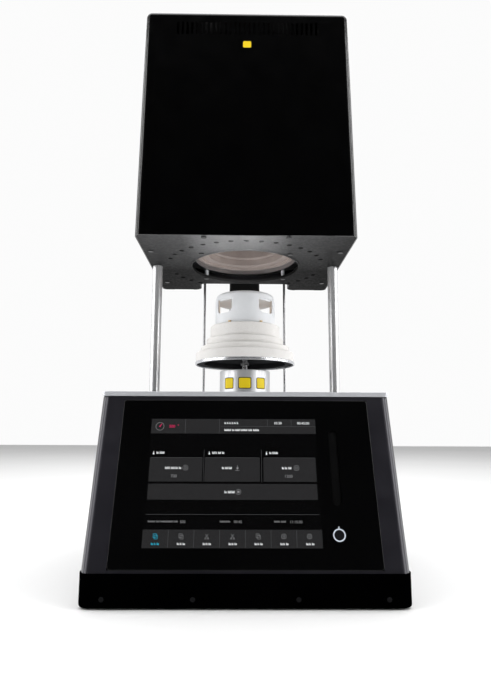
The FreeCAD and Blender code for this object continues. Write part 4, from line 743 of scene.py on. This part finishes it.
plain_patch("head_patch", HEAD_PATCH_WIDTH, HEAD_PATCH_HEIGHT, HEAD_PATCH_EDGE, on_head, "frame")


# ---- mains inlet pins ----

inlet_low, inlet_high = corners("mains_inlet")
PIN_ROOT = 20 * MM
PIN_HALF_WIDTH, PIN_HALF_HEIGHT, PIN_CORNER = 2.1, 1.1, 0.5
PIN_START, PIN_END = 0.1, 14.3
inlet_x = (inlet_low.x + inlet_high.x) / 2
inlet_z = (inlet_low.z + inlet_high.z) / 2


def on_inlet(x, y, height):
    """Point in the socket, height towards the rear."""
    return Vector((inlet_x + x * MM, inlet_high.y - PIN_ROOT + height * MM, inlet_z + y * MM))


pin_mesh = bmesh.new()
for x, y in ((-7, -14), (7, -14), (0, -10)):
    outline = round_box(x - PIN_HALF_WIDTH, x + PIN_HALF_WIDTH, y - PIN_HALF_HEIGHT, y + PIN_HALF_HEIGHT,
                        PIN_CORNER)
    add_slab(pin_mesh, outline, PIN_START, PIN_END, on_inlet)
new_piece("inlet_pins", pin_mesh, bronze, "frame")


# ---- floor, light and camera ----

floor_mesh = bmesh.new()
FLOOR_REACH = 6
FLOOR_CELLS = 12
floor_marks = [FLOOR_REACH * (n / (FLOOR_CELLS / 2) - 1) for n in range(FLOOR_CELLS + 1)]
floor_rows = [[floor_mesh.verts.new((x, y, 0)) for x in floor_marks] for y in floor_marks]
for j in range(FLOOR_CELLS):
    for i in range(FLOOR_CELLS):
        floor_mesh.faces.new((floor_rows[j][i], floor_rows[j][i + 1], floor_rows[j + 1][i + 1],
                              floor_rows[j + 1][i]))
floor_data = bpy.data.meshes.new("studio_floor")
floor_mesh.to_mesh(floor_data)
floor_mesh.free()
floor = bpy.data.objects.new("studio_floor", floor_data)
bpy.context.scene.collection.objects.link(floor)
floor_shader = Shader("studio_floor_paper")
paper = floor_shader.ramp(floor_shader.noise(1.2), [(0.3, (0.8, 0.8, 0.8)), (0.7, (0.84, 0.84, 0.84))])
floor_shader.set(Base_Color=paper, Roughness=0.7)
floor_data.materials.append(floor_shader.material)

PALE = 0.97
DIM_FRONT = 0.015
BRIGHT_REAR = 0.95
BRIGHT_TOP = 0.8
# where the light changes, as a part of its direction along Y and Z
FRONT_TO_REAR = (-0.55, 0.5)
SIDE_TO_TOP = (0.72, 0.97)


def studio_world():
    """White studio: plain and pale when seen, and as light bright behind and above but dim in front."""
    world = bpy.data.worlds.new("studio")
    bpy.context.scene.world = world
    world.use_nodes = True
    tree = world.node_tree
    direction = tree.nodes.new("ShaderNodeSeparateXYZ")
    tree.links.new(tree.nodes.new("ShaderNodeTexCoord").outputs["Generated"], direction.inputs["Vector"])

    def level(axis, span, low, high):
        """Brightness that goes from low to high over a span of one axis."""
        item = tree.nodes.new("ShaderNodeMapRange")
        item.interpolation_type = "SMOOTHSTEP"
        tree.links.new(direction.outputs[axis], item.inputs["Value"])
        for key, value in (("From Min", span[0]), ("From Max", span[1]), ("To Min", low), ("To Max", high)):
            item.inputs[key].default_value = value
        return item.outputs["Result"]

    lit = tree.nodes.new("ShaderNodeMath")
    lit.operation = "MAXIMUM"
    tree.links.new(level("Y", FRONT_TO_REAR, DIM_FRONT, BRIGHT_REAR), lit.inputs[0])
    tree.links.new(level("Z", SIDE_TO_TOP, DIM_FRONT, BRIGHT_TOP), lit.inputs[1])
    plain = tree.nodes["Background"]
    plain.inputs["Color"].default_value = (1, 1, 1, 1)
    plain.inputs["Strength"].default_value = PALE
    room = tree.nodes.new("ShaderNodeBackground")
    tree.links.new(lit.outputs["Value"], room.inputs["Strength"])
    choice = tree.nodes.new("ShaderNodeMixShader")
    tree.links.new(tree.nodes.new("ShaderNodeLightPath").outputs["Is Camera Ray"], choice.inputs["Fac"])
    tree.links.new(room.outputs["Background"], choice.inputs[1])
    tree.links.new(plain.outputs["Background"], choice.inputs[2])
    tree.links.new(choice.outputs["Shader"], tree.nodes["World Output"].inputs["Surface"])


studio_world()


def soft_light(name, place, target, width, height, power):
    """Rectangular lamp at a place, turned to its target."""
    data = bpy.data.lights.new(name, "AREA")
    data.shape = "RECTANGLE"
    data.size, data.size_y = width, height
    data.energy = power
    item = bpy.data.objects.new(name, data)
    item.location = place
    item.rotation_euler = (Vector(target) - Vector(place)).to_track_quat("-Z", "Y").to_euler()
    bpy.context.scene.collection.objects.link(item)


soft_light("left_softbox", (-1.35, -0.78, 0.9), (0, 0, 0.75), 0.5, 2.0, 13)
soft_light("right_softbox", (1.35, -0.78, 0.9), (0, 0, 0.75), 0.5, 2.0, 15.5)
soft_light("left_strip", (-1.5, 0.05, 0.9), (0, 0, 0.9), 0.5, 2.0, 11.5)
soft_light("right_strip", (1.5, 0.05, 0.9), (0, 0, 0.9), 0.5, 2.0, 11.5)
soft_light("overhead", (0, 0.6, 2.9), (0, 0.4, 0), 4.0, 3.6, 95)

# place in metres, lens and sensor in mm, angles in radians
CAMERA_PLACE = (-0.0089, -0.85026, 0.20174)
CAMERA_LENS = 27.707
CAMERA_SENSOR = 36
PITCH, YAW, ROLL = 0.1463, 0.0116, 0.0039

camera_data = bpy.data.cameras.new("camera")
camera_data.lens = CAMERA_LENS
camera_data.sensor_width = CAMERA_SENSOR
camera = bpy.data.objects.new("camera", camera_data)
forward = Vector((math.sin(YAW) * math.cos(PITCH), math.cos(YAW) * math.cos(PITCH), math.sin(PITCH)))
side = Vector((math.cos(YAW), -math.sin(YAW), 0))
above = side.cross(forward)
right = side * math.cos(ROLL) + above * math.sin(ROLL)
up = above * math.cos(ROLL) - side * math.sin(ROLL)
turn = Matrix((right, up, -forward)).transposed().to_4x4()
camera.matrix_world = Matrix.Translation(CAMERA_PLACE) @ turn
bpy.context.scene.collection.objects.link(camera)
bpy.context.scene.camera = camera
bpy.context.scene.view_settings.view_transform = "Standard"
